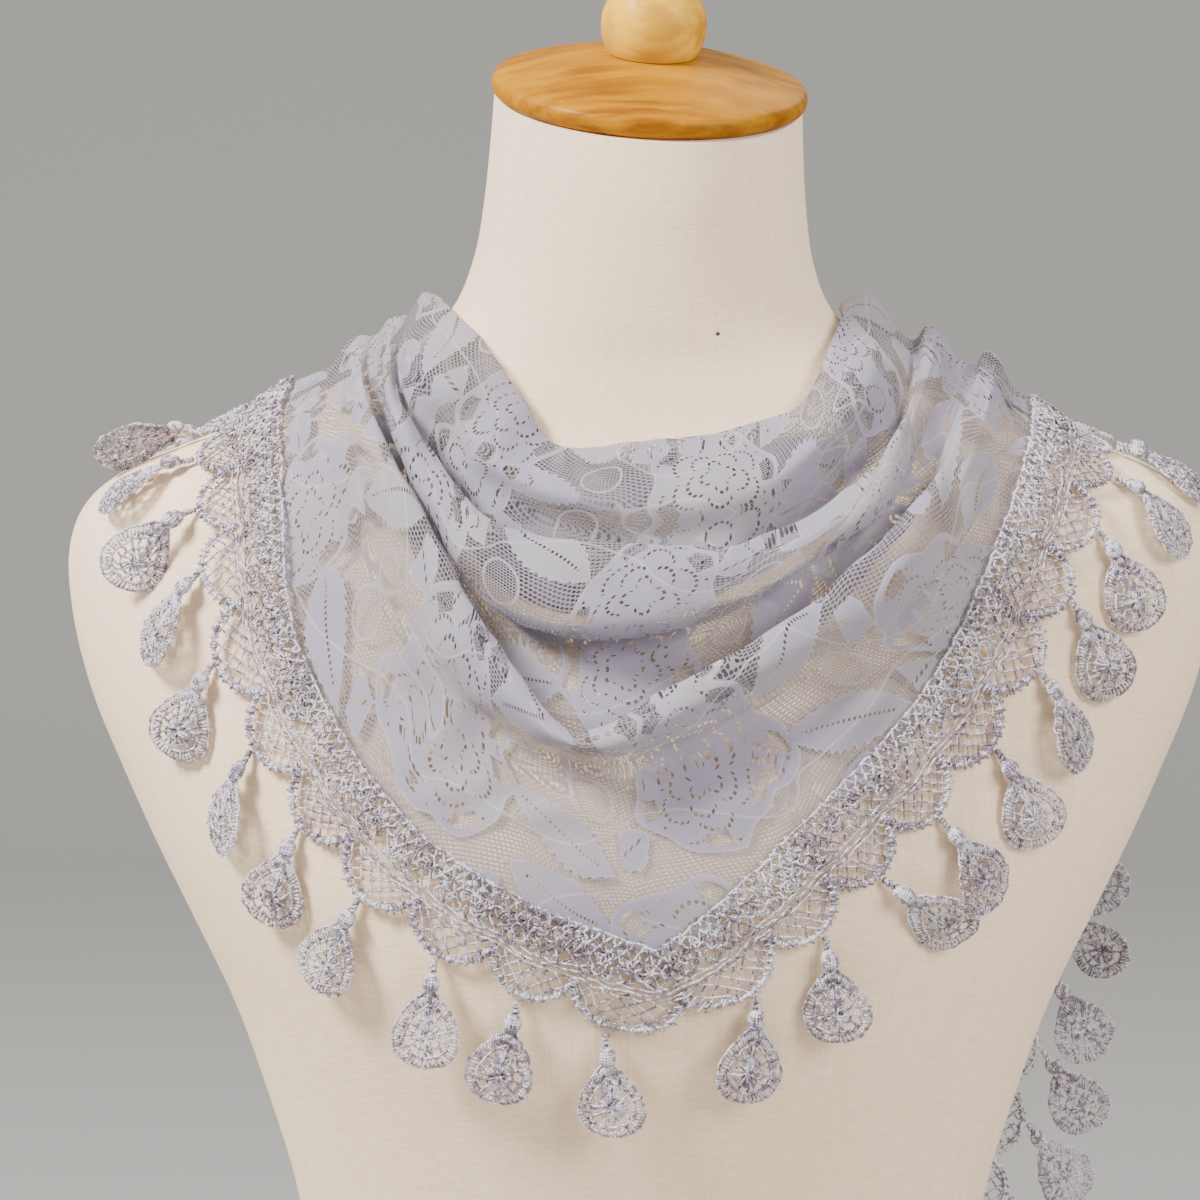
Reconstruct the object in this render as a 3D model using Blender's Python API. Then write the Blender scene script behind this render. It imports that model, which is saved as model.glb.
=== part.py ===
"""Lace triangle scarf worn as a cowl on a limbless dress form: the construction at real size."""

from collections import namedtuple
import math

import bmesh
import bpy
import numpy as np
from mathutils import Matrix, Vector
from mathutils.bvhtree import BVHTree

MM = 0.001
SHARP_ANGLE = math.radians(40)

# Start from an empty scene
for old in list(bpy.data.objects):
    bpy.data.objects.remove(old, do_unlink=True)


# Splines
def spline(points, places, corners=None):
    """Smooth curve through points, read at places. Place 2.5 is halfway from the third to the fourth."""
    points = np.asarray(points, dtype=float)
    corners = corners or {}
    last = len(points) - 1
    gaps = np.sqrt(np.linalg.norm(np.diff(points, axis=0), axis=1)) + 1e-6
    slopes = np.diff(points, axis=0) / gaps[:, None]
    curve = []
    for place in places:
        i = min(int(place), last - 1)
        t = place - i
        into = out = slopes[i]
        if i > 0:
            into = (slopes[i - 1] * gaps[i] + slopes[i] * gaps[i - 1]) / (gaps[i - 1] + gaps[i])
        if i < last - 1:
            out = (slopes[i] * gaps[i + 1] + slopes[i + 1] * gaps[i]) / (gaps[i] + gaps[i + 1])
        into = into + (slopes[i] - into) * corners.get(i, 0.0)
        out = out + (slopes[i] - out) * corners.get(i + 1, 0.0)
        t2, t3 = t * t, t * t * t
        curve.append((2 * t3 - 3 * t2 + 1) * points[i] + (t3 - 2 * t2 + t) * gaps[i] * into
                     + (3 * t2 - 2 * t3) * points[i + 1] + (t3 - t2) * gaps[i] * out)
    return np.array(curve)


# Dress form sizes in millimetres: half width at each height, reach forwards and backwards of the axis,
# sideways set of the centre, and how far the section follows the tilt of the neck cap
Section = namedtuple("Section", "height half_width front back aside tilt")
FORM_SECTIONS = [
    Section(0, 152, 96, 104, 0, 0),
    Section(75, 149, 96, 104, 0, 0),
    Section(150, 134, 90, 96, 0, 0),
    Section(215, 118, 86, 84, 0, 0),
    Section(265, 112, 86, 78, 0, 0),
    Section(314, 118, 94, 78, 0, 0),
    Section(350, 128, 104, 82, 0, 0),
    Section(385, 140, 115, 87, 0, 0),
    Section(415, 154, 121, 91, 0, 0),
    Section(440, 166, 121, 94, 0, 0),
    Section(465, 177, 115, 96, 0, 0),
    Section(490, 187, 106, 96, 0, 0),
    Section(515, 193, 96, 94, 0, 0),
    Section(538, 194, 85, 88, 0, 0),
    Section(553, 188, 77, 81, 0, 0),
    Section(564, 174, 70, 74, 0, 0),
    Section(574, 150, 65, 68, 0, 0),
    Section(584, 125, 61, 62, 0, 0),
    Section(594, 101, 59, 57, 0, 0),
    Section(605, 79, 58, 53, 0, 0),
    Section(618, 64, 59, 49, 0, 0.1),
    Section(635, 57, 60, 45, 0.5, 0.35),
    Section(654, 54, 61, 43, 1, 0.7),
    Section(672, 52.5, 62, 42, 1.5, 1),
    Section(690, 51.5, 62, 42, 2, 1),
]
FORM_ROUND = 2.15
CAP_PITCH = math.radians(13.5)
CAP_ROLL = math.radians(3.5)
AROUND = 40


def form_ring(section, count):
    """One level of the dress form, as points in metres around it."""
    ring = []
    for k in range(count):
        turn = 2 * math.pi * k / count
        side, depth = math.cos(turn), math.sin(turn)
        reach = section.back if depth > 0 else section.front
        x = section.half_width * math.copysign(abs(side) ** (2 / FORM_ROUND), side)
        y = reach * math.copysign(abs(depth) ** (2 / FORM_ROUND), depth)
        z = section.height + section.tilt * (math.tan(CAP_PITCH) * y - math.tan(CAP_ROLL) * x)
        ring.append(Vector((x + section.aside, y, z)) * MM)
    return ring


def form_mesh(count, steps):
    """The torso and neck, lofted through the sections, with flat ends."""
    table = np.array(FORM_SECTIONS, dtype=float)
    places = np.linspace(0, len(table) - 1, (len(table) - 1) * steps + 1)
    shape = bmesh.new()
    below = None
    for row in spline(table, places):
        ring = [shape.verts.new(point) for point in form_ring(Section(*row), count)]
        if below is None:
            shape.faces.new(ring[::-1])
        else:
            for k in range(count):
                after = (k + 1) % count
                shape.faces.new((below[k], below[after], ring[after], ring[k]))
        below = ring
    shape.faces.new(below)
    bmesh.ops.recalc_face_normals(shape, faces=shape.faces)
    return shape


def add_object(shape, name, material):
    """Turn a bmesh into one named object of the model."""
    mesh = bpy.data.meshes.new(name)
    shape.to_mesh(mesh)
    shape.free()
    mesh.materials.append(material)
    mesh.shade_smooth()
    mesh.set_sharp_from_angle(angle=SHARP_ANGLE)
    piece = bpy.data.objects.new(name, mesh)
    bpy.context.collection.objects.link(piece)
    return piece


def make_material(name, colour, roughness):
    """Plain Principled material of one sub-part."""
    material = bpy.data.materials.new(name)
    material.use_nodes = True
    shader = material.node_tree.nodes["Principled BSDF"]
    shader.inputs["Base Color"].default_value = (*colour, 1)
    shader.inputs["Roughness"].default_value = roughness
    shader.inputs["Metallic"].default_value = 0
    return material


JERSEY = make_material("cream jersey", (0.80, 0.74, 0.64), 0.9)
WOOD = make_material("varnished wood", (0.68, 0.38, 0.12), 0.3)
LACE = make_material("lilac lace", (0.61, 0.60, 0.65), 0.8)
THREAD = make_material("lilac rayon thread", (0.50, 0.46, 0.51), 0.55)

add_object(form_mesh(AROUND, 1), "form_torso", JERSEY)


# Turned wooden cap and ball knob, radius and height in millimetres up the neck's own axis
SEAM = 0.3
CAP_PROFILE = [(0, 0), (50.2, 0), (52.2, 1.6), (52.7, 4), (52, 6.4), (49.5, 7.8), (38, 11.2), (27, 14.2),
               (17.5, 16), (0, 16)]
KNOB_RADIUS = 17.6
KNOB_WAIST = 9.5
KNOB_STEPS = 7
TURNED = 28


def knob_profile(steps):
    """Ball cut flat below its middle."""
    low = -math.asin(KNOB_WAIST / KNOB_RADIUS)
    arc = [low + (math.pi / 2 - low) * k / steps for k in range(steps + 1)]
    ball = [(KNOB_RADIUS * math.cos(a), KNOB_WAIST + KNOB_RADIUS * math.sin(a)) for a in arc[:-1]]
    return [(0, 0)] + ball + [(0, KNOB_WAIST + KNOB_RADIUS)]


def turned_mesh(profile, base):
    """Solid turned about the neck's axis, standing base above the neck's cut top."""
    shape = bmesh.new()
    rings = []
    for radius, height in profile:
        count = TURNED if radius else 1
        rings.append([shape.verts.new((radius * math.cos(2 * math.pi * k / TURNED) * MM,
                                       radius * math.sin(2 * math.pi * k / TURNED) * MM,
                                       (height + base) * MM)) for k in range(count)])
    for low, high in zip(rings, rings[1:]):
        for k in range(TURNED):
            after = (k + 1) % TURNED
            corners = [low[k % len(low)], low[after % len(low)], high[after % len(high)], high[k % len(high)]]
            shape.faces.new(list(dict.fromkeys(corners)))
    top = FORM_SECTIONS[-1]
    middle = (top.front - top.back) / -2
    centre = Vector((top.aside, middle, top.height + math.tan(CAP_PITCH) * middle)) * MM
    lean = Vector((math.tan(CAP_ROLL), -math.tan(CAP_PITCH), 1))
    turn = Vector((0, 0, 1)).rotation_difference(lean).to_matrix().to_4x4()
    bmesh.ops.transform(shape, matrix=Matrix.Translation(centre) @ turn, verts=shape.verts)
    bmesh.ops.recalc_face_normals(shape, faces=shape.faces)
    return shape


add_object(turned_mesh(CAP_PROFILE, SEAM), "form_cap", WOOD)
add_object(turned_mesh(knob_profile(KNOB_STEPS), 2 * SEAM + CAP_PROFILE[-1][1]), "form_knob", WOOD)


# Smooth copy of the form, only to lay the cloth on
GUIDE_AROUND = 128
GUIDE_STEPS = 5
FAR = 1.0
SLANT = 0.5
guide = form_mesh(GUIDE_AROUND, GUIDE_STEPS)
FORM = BVHTree.FromBMesh(guide)
guide.free()


def stand_off(hit, normal, ray, lift):
    """Step back along a ray until the point is lift clear of the form, less so on steep slopes."""
    return hit - ray * (lift * MM / max(abs(normal.dot(ray)), SLANT))


def front_point(x, z, lift):
    """Point lift in front of the chest."""
    ray = Vector((0, 1, 0))
    hit, normal, _, _ = FORM.ray_cast(Vector((x * MM, -FAR, z * MM)), ray)
    return stand_off(hit, normal, ray, lift)


def ridge_point(x, lift):
    """Point lift above the crest of the shoulder."""
    ray = Vector((0, 0, -1))
    hit, normal, _, _ = FORM.ray_cast(Vector((x * MM, 0, FAR)), ray)
    return stand_off(hit, normal, ray, lift)


def hold_off(point, clearance):
    """Move a point outwards until it is clear of the form."""
    near, normal, _, gap = FORM.find_nearest(point)
    height = gap if (point - near).dot(normal) > 0 else -gap
    if height < clearance * MM:
        return near + normal * clearance * MM
    return point


# Cloth wall, its least clearance to the form in millimetres, and the share of a row's lift that is kept
# between the laid places
WALL = 1.0
CLEAR = 1.1
KEEP = 0.7

# Each fold line is x and z of seven places in front in millimetres, from high on the left, through its
# lowest point, to high on the right. The corner says how sharp it turns there, up to 1
Fold = namedtuple("Fold", "high_left mid_left low_left low low_right mid_right high_right corner")
FOLDS = {
    "neckline": Fold((-52, 609), (-39, 592), (-29, 578), (-1, 579), (31, 583), (52, 591), (60, 606), 0),
    "collar": Fold((-76, 596), (-67, 583), (-51, 566), (-14, 550), (31, 553), (60, 571), (78, 588), 0),
    "middle crest": Fold((-80, 593), (-69, 577), (-47, 555), (-10, 550), (38, 552), (64, 565), (82, 582), 0),
    "middle low": Fold((-84.5, 592), (-73, 567), (-47, 528), (-14, 520), (18, 525), (49, 539), (76, 560), 0),
    "lower crest": Fold((-89, 590), (-74, 562), (-46, 518), (-22, 492), (10, 507), (50, 529), (88, 560), 0.3),
    "lower low": Fold((-95, 584), (-80, 545), (-54, 503), (-17, 484), (18, 494), (59, 515), (96, 543), 0.2),
    "seam": Fold((-120, 559), (-113, 513), (-70, 454), (4, 420), (53, 461), (93, 502), (117, 546), 0.7),
}

# The profile down the cloth. Each row lies between two fold lines, share of the way from the first to the
# second. A pocket's bottom and side also tuck some way down behind the crest that they rise to, less so
# towards the shoulders. Left and right are a row's x on the shoulders' crests, and lift is how far it
# stands off the form at left, low and right
Row = namedtuple("Row", "first second share tuck left right lift")
ROWS = [
    Row("neckline", "neckline", 0, 0, -67, 67, (4, 3, 4)),
    Row("neckline", "collar", 0.5, 0, -73, 76, (11, 6.5, 12)),
    Row("collar", "collar", 0, 0, -76, 84, (11, 5, 11)),
    Row("middle crest", "middle low", 0, 0.3, -79.3, 90, (9.6, 2, 9)),
    Row("middle crest", "middle low", 0, 0.12, -82, 92.5, (10.8, 9, 10)),
    Row("middle crest", "middle crest", 0, 0, -84, 95.5, (11.6, 16, 13)),
    Row("middle crest", "middle low", 0.5, 0, -86, 100, (11.6, 18, 14)),
    Row("middle low", "middle low", 0, 0, -87.5, 104, (10.4, 12, 11)),
    Row("middle low", "lower crest", 0.28, 0, -89, 106.5, (9.6, 4, 9.5)),
    Row("middle low", "lower crest", 0.68, 0, -90.5, 108.5, (9.4, 1.6, 9)),
    Row("lower crest", "lower low", 0, 0.45, -92, 110.5, (9.8, 2.4, 9.5)),
    Row("lower crest", "lower low", 0, 0.2, -93.5, 113, (10.8, 10, 11)),
    Row("lower crest", "lower crest", 0, 0, -96, 116, (11.6, 17, 14)),
    Row("lower crest", "lower low", 0.5, 0, -99, 120, (11.6, 18, 14)),
    Row("lower low", "lower low", 0, 0, -102, 123.5, (9, 11, 9)),
    Row("lower low", "seam", 0.14, 0, -105.5, 126, (6, 2.4, 6.5)),
    Row("lower low", "seam", 0.4, 0, -110.5, 128.5, (6, 1.5, 6)),
    Row("lower low", "seam", 0.7, 0, -116, 131, (6, 1.4, 5.5)),
    Row("seam", "seam", 0, 0, -121, 134, (6, 1.6, 5)),
]
LAST = len(FOLDS["seam"])
HALF = LAST / 2
UNTUCK = 3
LIFT_POWER = 1.3


def lift_along(lift, place):
    """Lift at a place between the left shoulder, the low point and the right shoulder."""
    left, low, right = lift
    side = (right if place > HALF else left) - low
    return low + side * (abs(place - HALF) / HALF) ** LIFT_POWER


def row_stations(row):
    """The places of one profile row, laid on the form from crest to crest."""
    stations = [ridge_point(row.left, row.lift[0])]
    for place in range(1, LAST):
        a, b = FOLDS[row.first][place - 1], FOLDS[row.second][place - 1]
        reach = abs(place - HALF) / HALF
        share = row.share + row.tuck * max(1 - UNTUCK * reach ** 2, 0)
        x = a[0] + (b[0] - a[0]) * share
        z = a[1] + (b[1] - a[1]) * share
        stations.append(front_point(x, z, lift_along(row.lift, place)))
    return stations + [ridge_point(row.right, row.lift[2])]


def drape_grid(across, along):
    """Middle surface of the front stretch, as rows of points from the neckline to the seam."""
    places = np.linspace(0, LAST, LAST * across + 1)
    lines = []
    for row in ROWS:
        first, second = FOLDS[row.first], FOLDS[row.second]
        corner = first.corner + (second.corner - first.corner) * row.share
        lines.append(spline(row_stations(row), places, {LAST // 2: corner}))
    lines = np.array(lines)
    down = np.linspace(0, len(ROWS) - 1, (len(ROWS) - 1) * along + 1)
    grid = np.stack([spline(lines[:, j], down) for j in range(len(places))], axis=1)
    clear = [[max(CLEAR, KEEP * lift_along(row.lift, place)) for place in places] for row in ROWS]
    clear = np.stack([np.interp(down, range(len(ROWS)), line) for line in np.array(clear).T], axis=1)
    return [[hold_off(Vector(point), least) for point, least in zip(*pair)] for pair in zip(grid, clear)]


def grid_normals(grid):
    """Normals of a grid of points."""
    points = np.array(grid)
    down, along = np.gradient(points, axis=0), np.gradient(points, axis=1)
    normals = np.cross(along, down)
    return normals / np.linalg.norm(normals, axis=2)[:, :, None]


def wall_mesh(grid, thickness):
    """Closed wall of even thickness about a grid of points. Returns it with its outer and inner corners."""
    shape = bmesh.new()
    normals = grid_normals(grid)
    sides = []
    for way in (0.5, -0.5):
        sides.append([[shape.verts.new(point + Vector(normal) * way * thickness * MM)
                       for point, normal in zip(line, turned)] for line, turned in zip(grid, normals)])
    outer, inner = sides
    rows, columns = len(grid), len(grid[0])
    for i in range(rows - 1):
        for j in range(columns - 1):
            shape.faces.new((outer[i][j], outer[i][j + 1], outer[i + 1][j + 1], outer[i + 1][j]))
            shape.faces.new((inner[i][j], inner[i + 1][j], inner[i + 1][j + 1], inner[i][j + 1]))
    rim = [(0, j) for j in range(columns)] + [(i, columns - 1) for i in range(1, rows)]
    rim += [(rows - 1, j) for j in range(columns - 2, -1, -1)] + [(i, 0) for i in range(rows - 2, 0, -1)]
    edge = {}
    for (i, j), (k, m) in zip(rim, rim[1:] + rim[:1]):
        edge[(i, j), (k, m)] = shape.faces.new((outer[k][m], outer[i][j], inner[i][j], inner[k][m]))
    return shape, outer, inner, edge


def part_at_shoulder(outer, inner, column, y):
    """Trim the wall's end flat where two stretches meet over the shoulder."""
    for side in (outer, inner):
        for line in side:
            line[column].co.y = y * MM


ACROSS = 3
DOWN = 2
front = drape_grid(ACROSS, DOWN)
shape, outer, inner, _ = wall_mesh(front, WALL)
part_at_shoulder(outer, inner, 0, 0)
part_at_shoulder(outer, inner, -1, 0)
add_object(shape, "drape_front", LACE)


# Ends thrown over the shoulders, hanging in pleats down the back. Places of the inner and the seam edge at
# each level, and the depth of the pleats there
Level = namedtuple("Level", "inner_x inner_z outer_x outer_z pleat")
RIGHT_LEVELS = [
    Level(71, 592, 136, 564, 8),
    Level(72, 545, 133, 522, 10),
    Level(73, 490, 127, 474, 10),
    Level(75, 432, 124, 424, 9),
    Level(78, 374, 120, 370, 7),
    Level(82, 316, 110, 314, 4),
    Level(87, 262, 96, 261, 1),
]
LEFT_LEVELS = [
    Level(-71, 592, -123, 567, 8),
    Level(-64, 545, -114, 524, 10),
    Level(-54, 490, -100, 475, 10),
    Level(-43, 432, -85, 425, 9),
    Level(-33, 374, -68, 371, 7),
    Level(-24, 316, -47, 315, 4),
    Level(-17, 268, -26, 267, 1),
]
PLEATS = 3
PLEAT_BASE = 1.6
HANG = 0.985
SHOULDER_CLEAR = 2
SHOULDER_ROWS = 3
TAIL_STEPS = 2


def back_station(x, z, lift, above):
    """Point lift behind the back, or hanging below the point above where the form falls away."""
    ray = Vector((0, -1, 0))
    hit, normal, _, _ = FORM.ray_cast(Vector((x * MM, FAR, z * MM)), ray)
    y = hit.y + lift * MM / max(abs(normal.y), SLANT) if hit else 0
    return Vector((x * MM, max(y, above * HANG), z * MM))


def tail_grid(ridge, levels, steps):
    """Middle surface of a hanging end, from the shoulder's crest down to its tip."""
    lines = []
    start = SEAM * MM
    for k, first in enumerate(ridge):
        share = k / (len(ridge) - 1)
        wave = 0.5 - 0.5 * math.cos(2 * math.pi * PLEATS * share)
        stations = [Vector((first.x, start, first.z))]
        level = 0
        for row in levels:
            x = row.inner_x + (row.outer_x - row.inner_x) * share
            z = row.inner_z + (row.outer_z - row.inner_z) * share
            flat = back_station(x, z, PLEAT_BASE, level)
            level = flat.y
            stations.append(flat + Vector((0, row.pleat * wave * MM, 0)))
        lines.append(spline(stations, np.linspace(0, len(levels), len(levels) * steps + 1)))
    over = [CLEAR + SHOULDER_CLEAR * max(1 - k / (SHOULDER_ROWS * steps), 0) for k in range(len(lines[0]))]
    return [[hold_off(Vector(point), least) for point, least in zip(line, over)] for line in lines]


TAILS = {}
for name, column, levels in (("left", 0, LEFT_LEVELS), ("right", -1, RIGHT_LEVELS)):
    grid = tail_grid([line[column] for line in front[::DOWN]], levels, TAIL_STEPS)
    if name == "left":
        grid = [line[::-1] for line in grid]
    TAILS[name] = grid
    shape, outer, inner, _ = wall_mesh(grid, WALL)
    part_at_shoulder(outer, inner, -1 if name == "left" else 0, SEAM)
    add_object(shape, "tail_" + name, LACE)


# Corded lace edging: a band with half-round lobes, and a teardrop hung from each lobe by a short stem
EDGING_WALL = 1.2
BAND = 13
LOBE = 14.5
CUSP = 1.5
LOBE_STEPS = 5
LOBE_PITCH = 26.5
STEM = 1.6
STEM_WIDE = 1.2
STEM_THICK = 0.6

# The edging lies on the form, or hangs where the form is further off than near form. It is further from the
# pleated ends' seams, and turns to face straight back in the first steps below the shoulder
EDGING_LIFT = 2.2
NEAR_FORM = 8
PLEATED = 0.6
SETTLE = 16
FLAT_ENOUGH = -0.1

# Teardrop: distance along the drop, half width and half thickness
Slice = namedtuple("Slice", "along half_width half_thick")
DROP = [
    Slice(3, 0.9, 0.6),
    Slice(5.8, 2.8, 1.3),
    Slice(8.6, 0.9, 0.6),
    Slice(12, 2.4, 1),
    Slice(19, 7.6, 1.2),
    Slice(27, 10.9, 1.3),
    Slice(33, 8.6, 1.2),
    Slice(36.5, 3, 0.9),
]
# Swing of each drop in front, degrees from straight down towards the right, left shoulder to right
FRONT_SWINGS = [-78, -72, -60, -48, -40, -36, -32, -34, -6, -12, 4, -6, 6, 44, 44, 40, 36, 33, 33, 42, 74]
TAIL_SWINGS = [64, 52, 40] + [33] * 11


def along_seam(seam, lobes):
    """Places along a seam line, closer together beside the cusps between lobes. Each comes with its turn in
    the lobe, and with how far the seam bulges past the straight run beside it."""
    points = np.array(seam)
    length = np.concatenate(([0], np.cumsum(np.linalg.norm(np.diff(points, axis=0), axis=1))))
    turns = [math.pi * step / LOBE_STEPS for step in range(LOBE_STEPS)] * lobes + [0]
    share = [(k // LOBE_STEPS + (1 - math.cos(turn)) / 2) / lobes for k, turn in enumerate(turns)]
    even = np.array(share) * length[-1]
    spots = np.stack([np.interp(even, length, points[:, k]) for k in range(3)], axis=1)
    bulge = np.zeros(len(even))
    for k, (start, end) in enumerate(zip(even, even[1:])):
        chord = (spots[k + 1] - spots[k]) / np.linalg.norm(spots[k + 1] - spots[k])
        for point in points[(length > start) & (length < end)] - spots[k]:
            out = np.linalg.norm(point - chord * point.dot(chord))
            bulge[k:k + 2] = np.maximum(bulge[k:k + 2], out)
    return [Vector(spot) for spot in spots], turns, bulge


def seam_length(seam):
    """Length of a seam line in millimetres."""
    return sum((b - a).length for a, b in zip(seam, seam[1:])) / MM


def lie_on_form(point, lift):
    """Settle a point on the form where it is near, and leave it hanging where it isn't."""
    near, normal, _, gap = FORM.find_nearest(point)
    height = gap if (point - near).dot(normal) > 0 else -gap
    if height < lift * MM:
        return near + normal * lift * MM
    loose = min(max((height / MM - lift) / NEAR_FORM, 0), 1)
    return (near + normal * lift * MM).lerp(point, loose)


def edging_grid(seam, side, hanging):
    """Middle surface of the edging, outwards from the seam. Side is +1 where outwards is seam cross up."""
    lobes = round(seam_length(seam) / LOBE_PITCH)
    edge, turns, bulge = along_seam(seam, lobes)
    inner, band, outer = [], [], []
    for k, (point, turn, past) in enumerate(zip(edge, turns, bulge)):
        before, after = edge[max(k - 2, 0)], edge[min(k + 2, len(edge) - 1)]
        tangent = (after - before).normalized()
        normal = FORM.find_nearest(point)[1]
        if hanging:
            normal = normal.lerp(Vector((0, 1, 0)), min(k / SETTLE, 1))
        ends = (k,) if hanging else (k, len(edge) - 1 - k)
        free = min(min(ends) / LOBE_STEPS, 1)
        outwards = tangent.cross(normal) * side
        outwards.y *= free
        outwards.normalize()
        clear = SEAM + (PLEATED if hanging else 0)
        inner.append(point + outwards * (clear * MM + past))
        for line, reach in ((band, BAND), (outer, BAND + CUSP + (LOBE - CUSP) * math.sin(turn))):
            spot = point + outwards * (SEAM + reach) * MM
            laid = lie_on_form(spot, EDGING_LIFT)
            laid.y = spot.y + (laid.y - spot.y) * free
            line.append(laid)
    return [inner, band, outer], lobes


def hang_path(root, swing, normal):
    """Place, direction and facing of each slice of a drop, hanging or lying on the form."""
    angle = math.radians(swing)
    fall = Vector((math.sin(angle), 0, -math.cos(angle)))
    path = []
    spot, last = root, 0
    for piece in DROP:
        way = (fall - normal * fall.dot(normal)).normalized()
        spot = spot + way * (piece.along - last) * MM
        last = piece.along
        near, near_normal, _, gap = FORM.find_nearest(spot)
        inside = (spot - near).dot(near_normal) < 0
        if inside or gap < EDGING_LIFT * MM or (near_normal.z > FLAT_ENOUGH and gap < NEAR_FORM * MM):
            spot = near + near_normal * EDGING_LIFT * MM
            normal = near_normal
        path.append((spot, way, normal))
    return path


def draw_out(shape, face, signs, middle, across, through):
    """Extrude one face of a drop and set its corners about a middle. Signs say which corner is which."""
    made = bmesh.ops.extrude_discrete_faces(shape, faces=[face])["faces"][0]
    kept = {}
    for corner in made.verts:
        wide, thick = signs[tuple(corner.co)]
        corner.co = middle + across * wide + through * thick
        kept[tuple(corner.co)] = (wide, thick)
    return made, kept


def add_drop(shape, root_face, swing, tangent, facing, outwards):
    """Draw a teardrop out of one face of the edging's rim, by a short stem."""
    middle = root_face.calc_center_median()
    signs = {}
    for corner in root_face.verts:
        offset = corner.co - middle
        signs[tuple(corner.co)] = [math.copysign(1, offset.dot(side)) for side in (tangent, facing)]
    stem = middle + outwards * STEM * MM
    face, signs = draw_out(shape, root_face, signs, stem, tangent * STEM_WIDE * MM, facing * STEM_THICK * MM)
    hand = math.copysign(1, tangent.cross(facing).dot(outwards))
    for piece, (spot, way, normal) in zip(DROP, hang_path(stem, swing, facing)):
        across = normal.cross(way).normalized() * hand
        face, signs = draw_out(shape, face, signs, spot, across * piece.half_width * MM,
                               normal * piece.half_thick * MM)


def keep_behind(shape, hanging):
    """Hold a tail's edging behind the shoulder parting, and the front's before it."""
    for corner in shape.verts:
        corner.co.y = max(corner.co.y, SEAM * MM) if hanging else min(corner.co.y, 0)


def edging_piece(name, seam, side, hanging, swings, start_y, end_y):
    """One stretch of edging with its fringe."""
    grid, lobes = edging_grid(seam, side, hanging)
    shape, outer, inner, rim = wall_mesh(grid, EDGING_WALL)
    if start_y is not None:
        part_at_shoulder(outer, inner, 0, start_y)
    if end_y is not None:
        part_at_shoulder(outer, inner, -1, end_y)
    middle = LOBE_STEPS // 2
    for lobe in range(lobes):
        j = lobe * LOBE_STEPS + middle
        tangent = (outer[2][j + 1].co - outer[2][j].co).normalized()
        facing = (outer[2][j].co - inner[2][j].co).normalized()
        outwards = tangent.cross(facing).normalized()
        if outwards.dot(outer[2][j].co - outer[1][j].co) < 0:
            outwards = -outwards
        if facing.dot(FORM.find_nearest(outer[2][j].co)[1]) < 0:
            facing = -facing
        add_drop(shape, rim[(2, j + 1), (2, j)], swings[lobe], tangent, facing, outwards)
    keep_behind(shape, hanging)
    add_object(shape, name, THREAD)


edging_piece("edging_front", front[-1], 1, False, FRONT_SWINGS, 0, 0)
edging_piece("edging_left", TAILS["left"][-1][::-1], -1, True, [-swing for swing in TAIL_SWINGS], SEAM, None)
edging_piece("edging_right", TAILS["right"][-1], 1, True, TAIL_SWINGS, SEAM, None)
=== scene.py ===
"""Lace triangle scarf worn as a cowl on a limbless dress form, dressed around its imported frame."""

from collections import namedtuple
import math

import bmesh
import bpy
import numpy as np
from mathutils import Matrix, Vector
from mathutils.bvhtree import BVHTree


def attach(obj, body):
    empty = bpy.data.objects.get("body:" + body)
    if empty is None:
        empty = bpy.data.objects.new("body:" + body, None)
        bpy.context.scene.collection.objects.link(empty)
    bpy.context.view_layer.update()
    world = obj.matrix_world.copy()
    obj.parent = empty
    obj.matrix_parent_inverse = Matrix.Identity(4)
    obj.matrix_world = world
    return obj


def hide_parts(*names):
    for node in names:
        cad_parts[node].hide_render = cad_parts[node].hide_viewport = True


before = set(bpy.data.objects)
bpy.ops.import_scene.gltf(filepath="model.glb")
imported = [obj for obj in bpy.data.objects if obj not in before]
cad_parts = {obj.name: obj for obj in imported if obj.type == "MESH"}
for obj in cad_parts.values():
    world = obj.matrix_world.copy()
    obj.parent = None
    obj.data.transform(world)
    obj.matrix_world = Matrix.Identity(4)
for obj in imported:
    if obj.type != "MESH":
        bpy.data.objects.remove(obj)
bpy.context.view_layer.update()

# Camera a little above the folds, as in the photograph
VIEW_ANGLE = math.radians(15.5)
VIEW_DISTANCE = 1.5
VIEW_RISE = math.radians(7)
AIM = Vector((-0.0143, 0, 0.519))


def aimed(data, place):
    """A camera or lamp at a place, turned towards the cloth."""
    made = bpy.data.objects.new(data.name, data)
    made.location = place
    made.rotation_euler = (AIM - made.location).to_track_quat("-Z", "Y").to_euler()
    bpy.context.collection.objects.link(made)
    return made


lens = bpy.data.cameras.new("camera")
lens.angle = VIEW_ANGLE
view_from = AIM + VIEW_DISTANCE * Vector((0, -math.cos(VIEW_RISE), math.sin(VIEW_RISE)))
bpy.context.scene.camera = aimed(lens, view_from)


# Shader maths written as plain expressions
class Shade:
    """One output of a node. The operators and methods below each add one Math node."""

    def __init__(self, paint, socket):
        self.paint = paint
        self.socket = socket


def maths_method(operation, reflected=False):
    """A method for one operation, with its values swapped for the reflected form of an operator."""
    def method(self, *others):
        return self.paint.maths(operation, *((*others, self) if reflected else (self, *others)))
    return method


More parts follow.
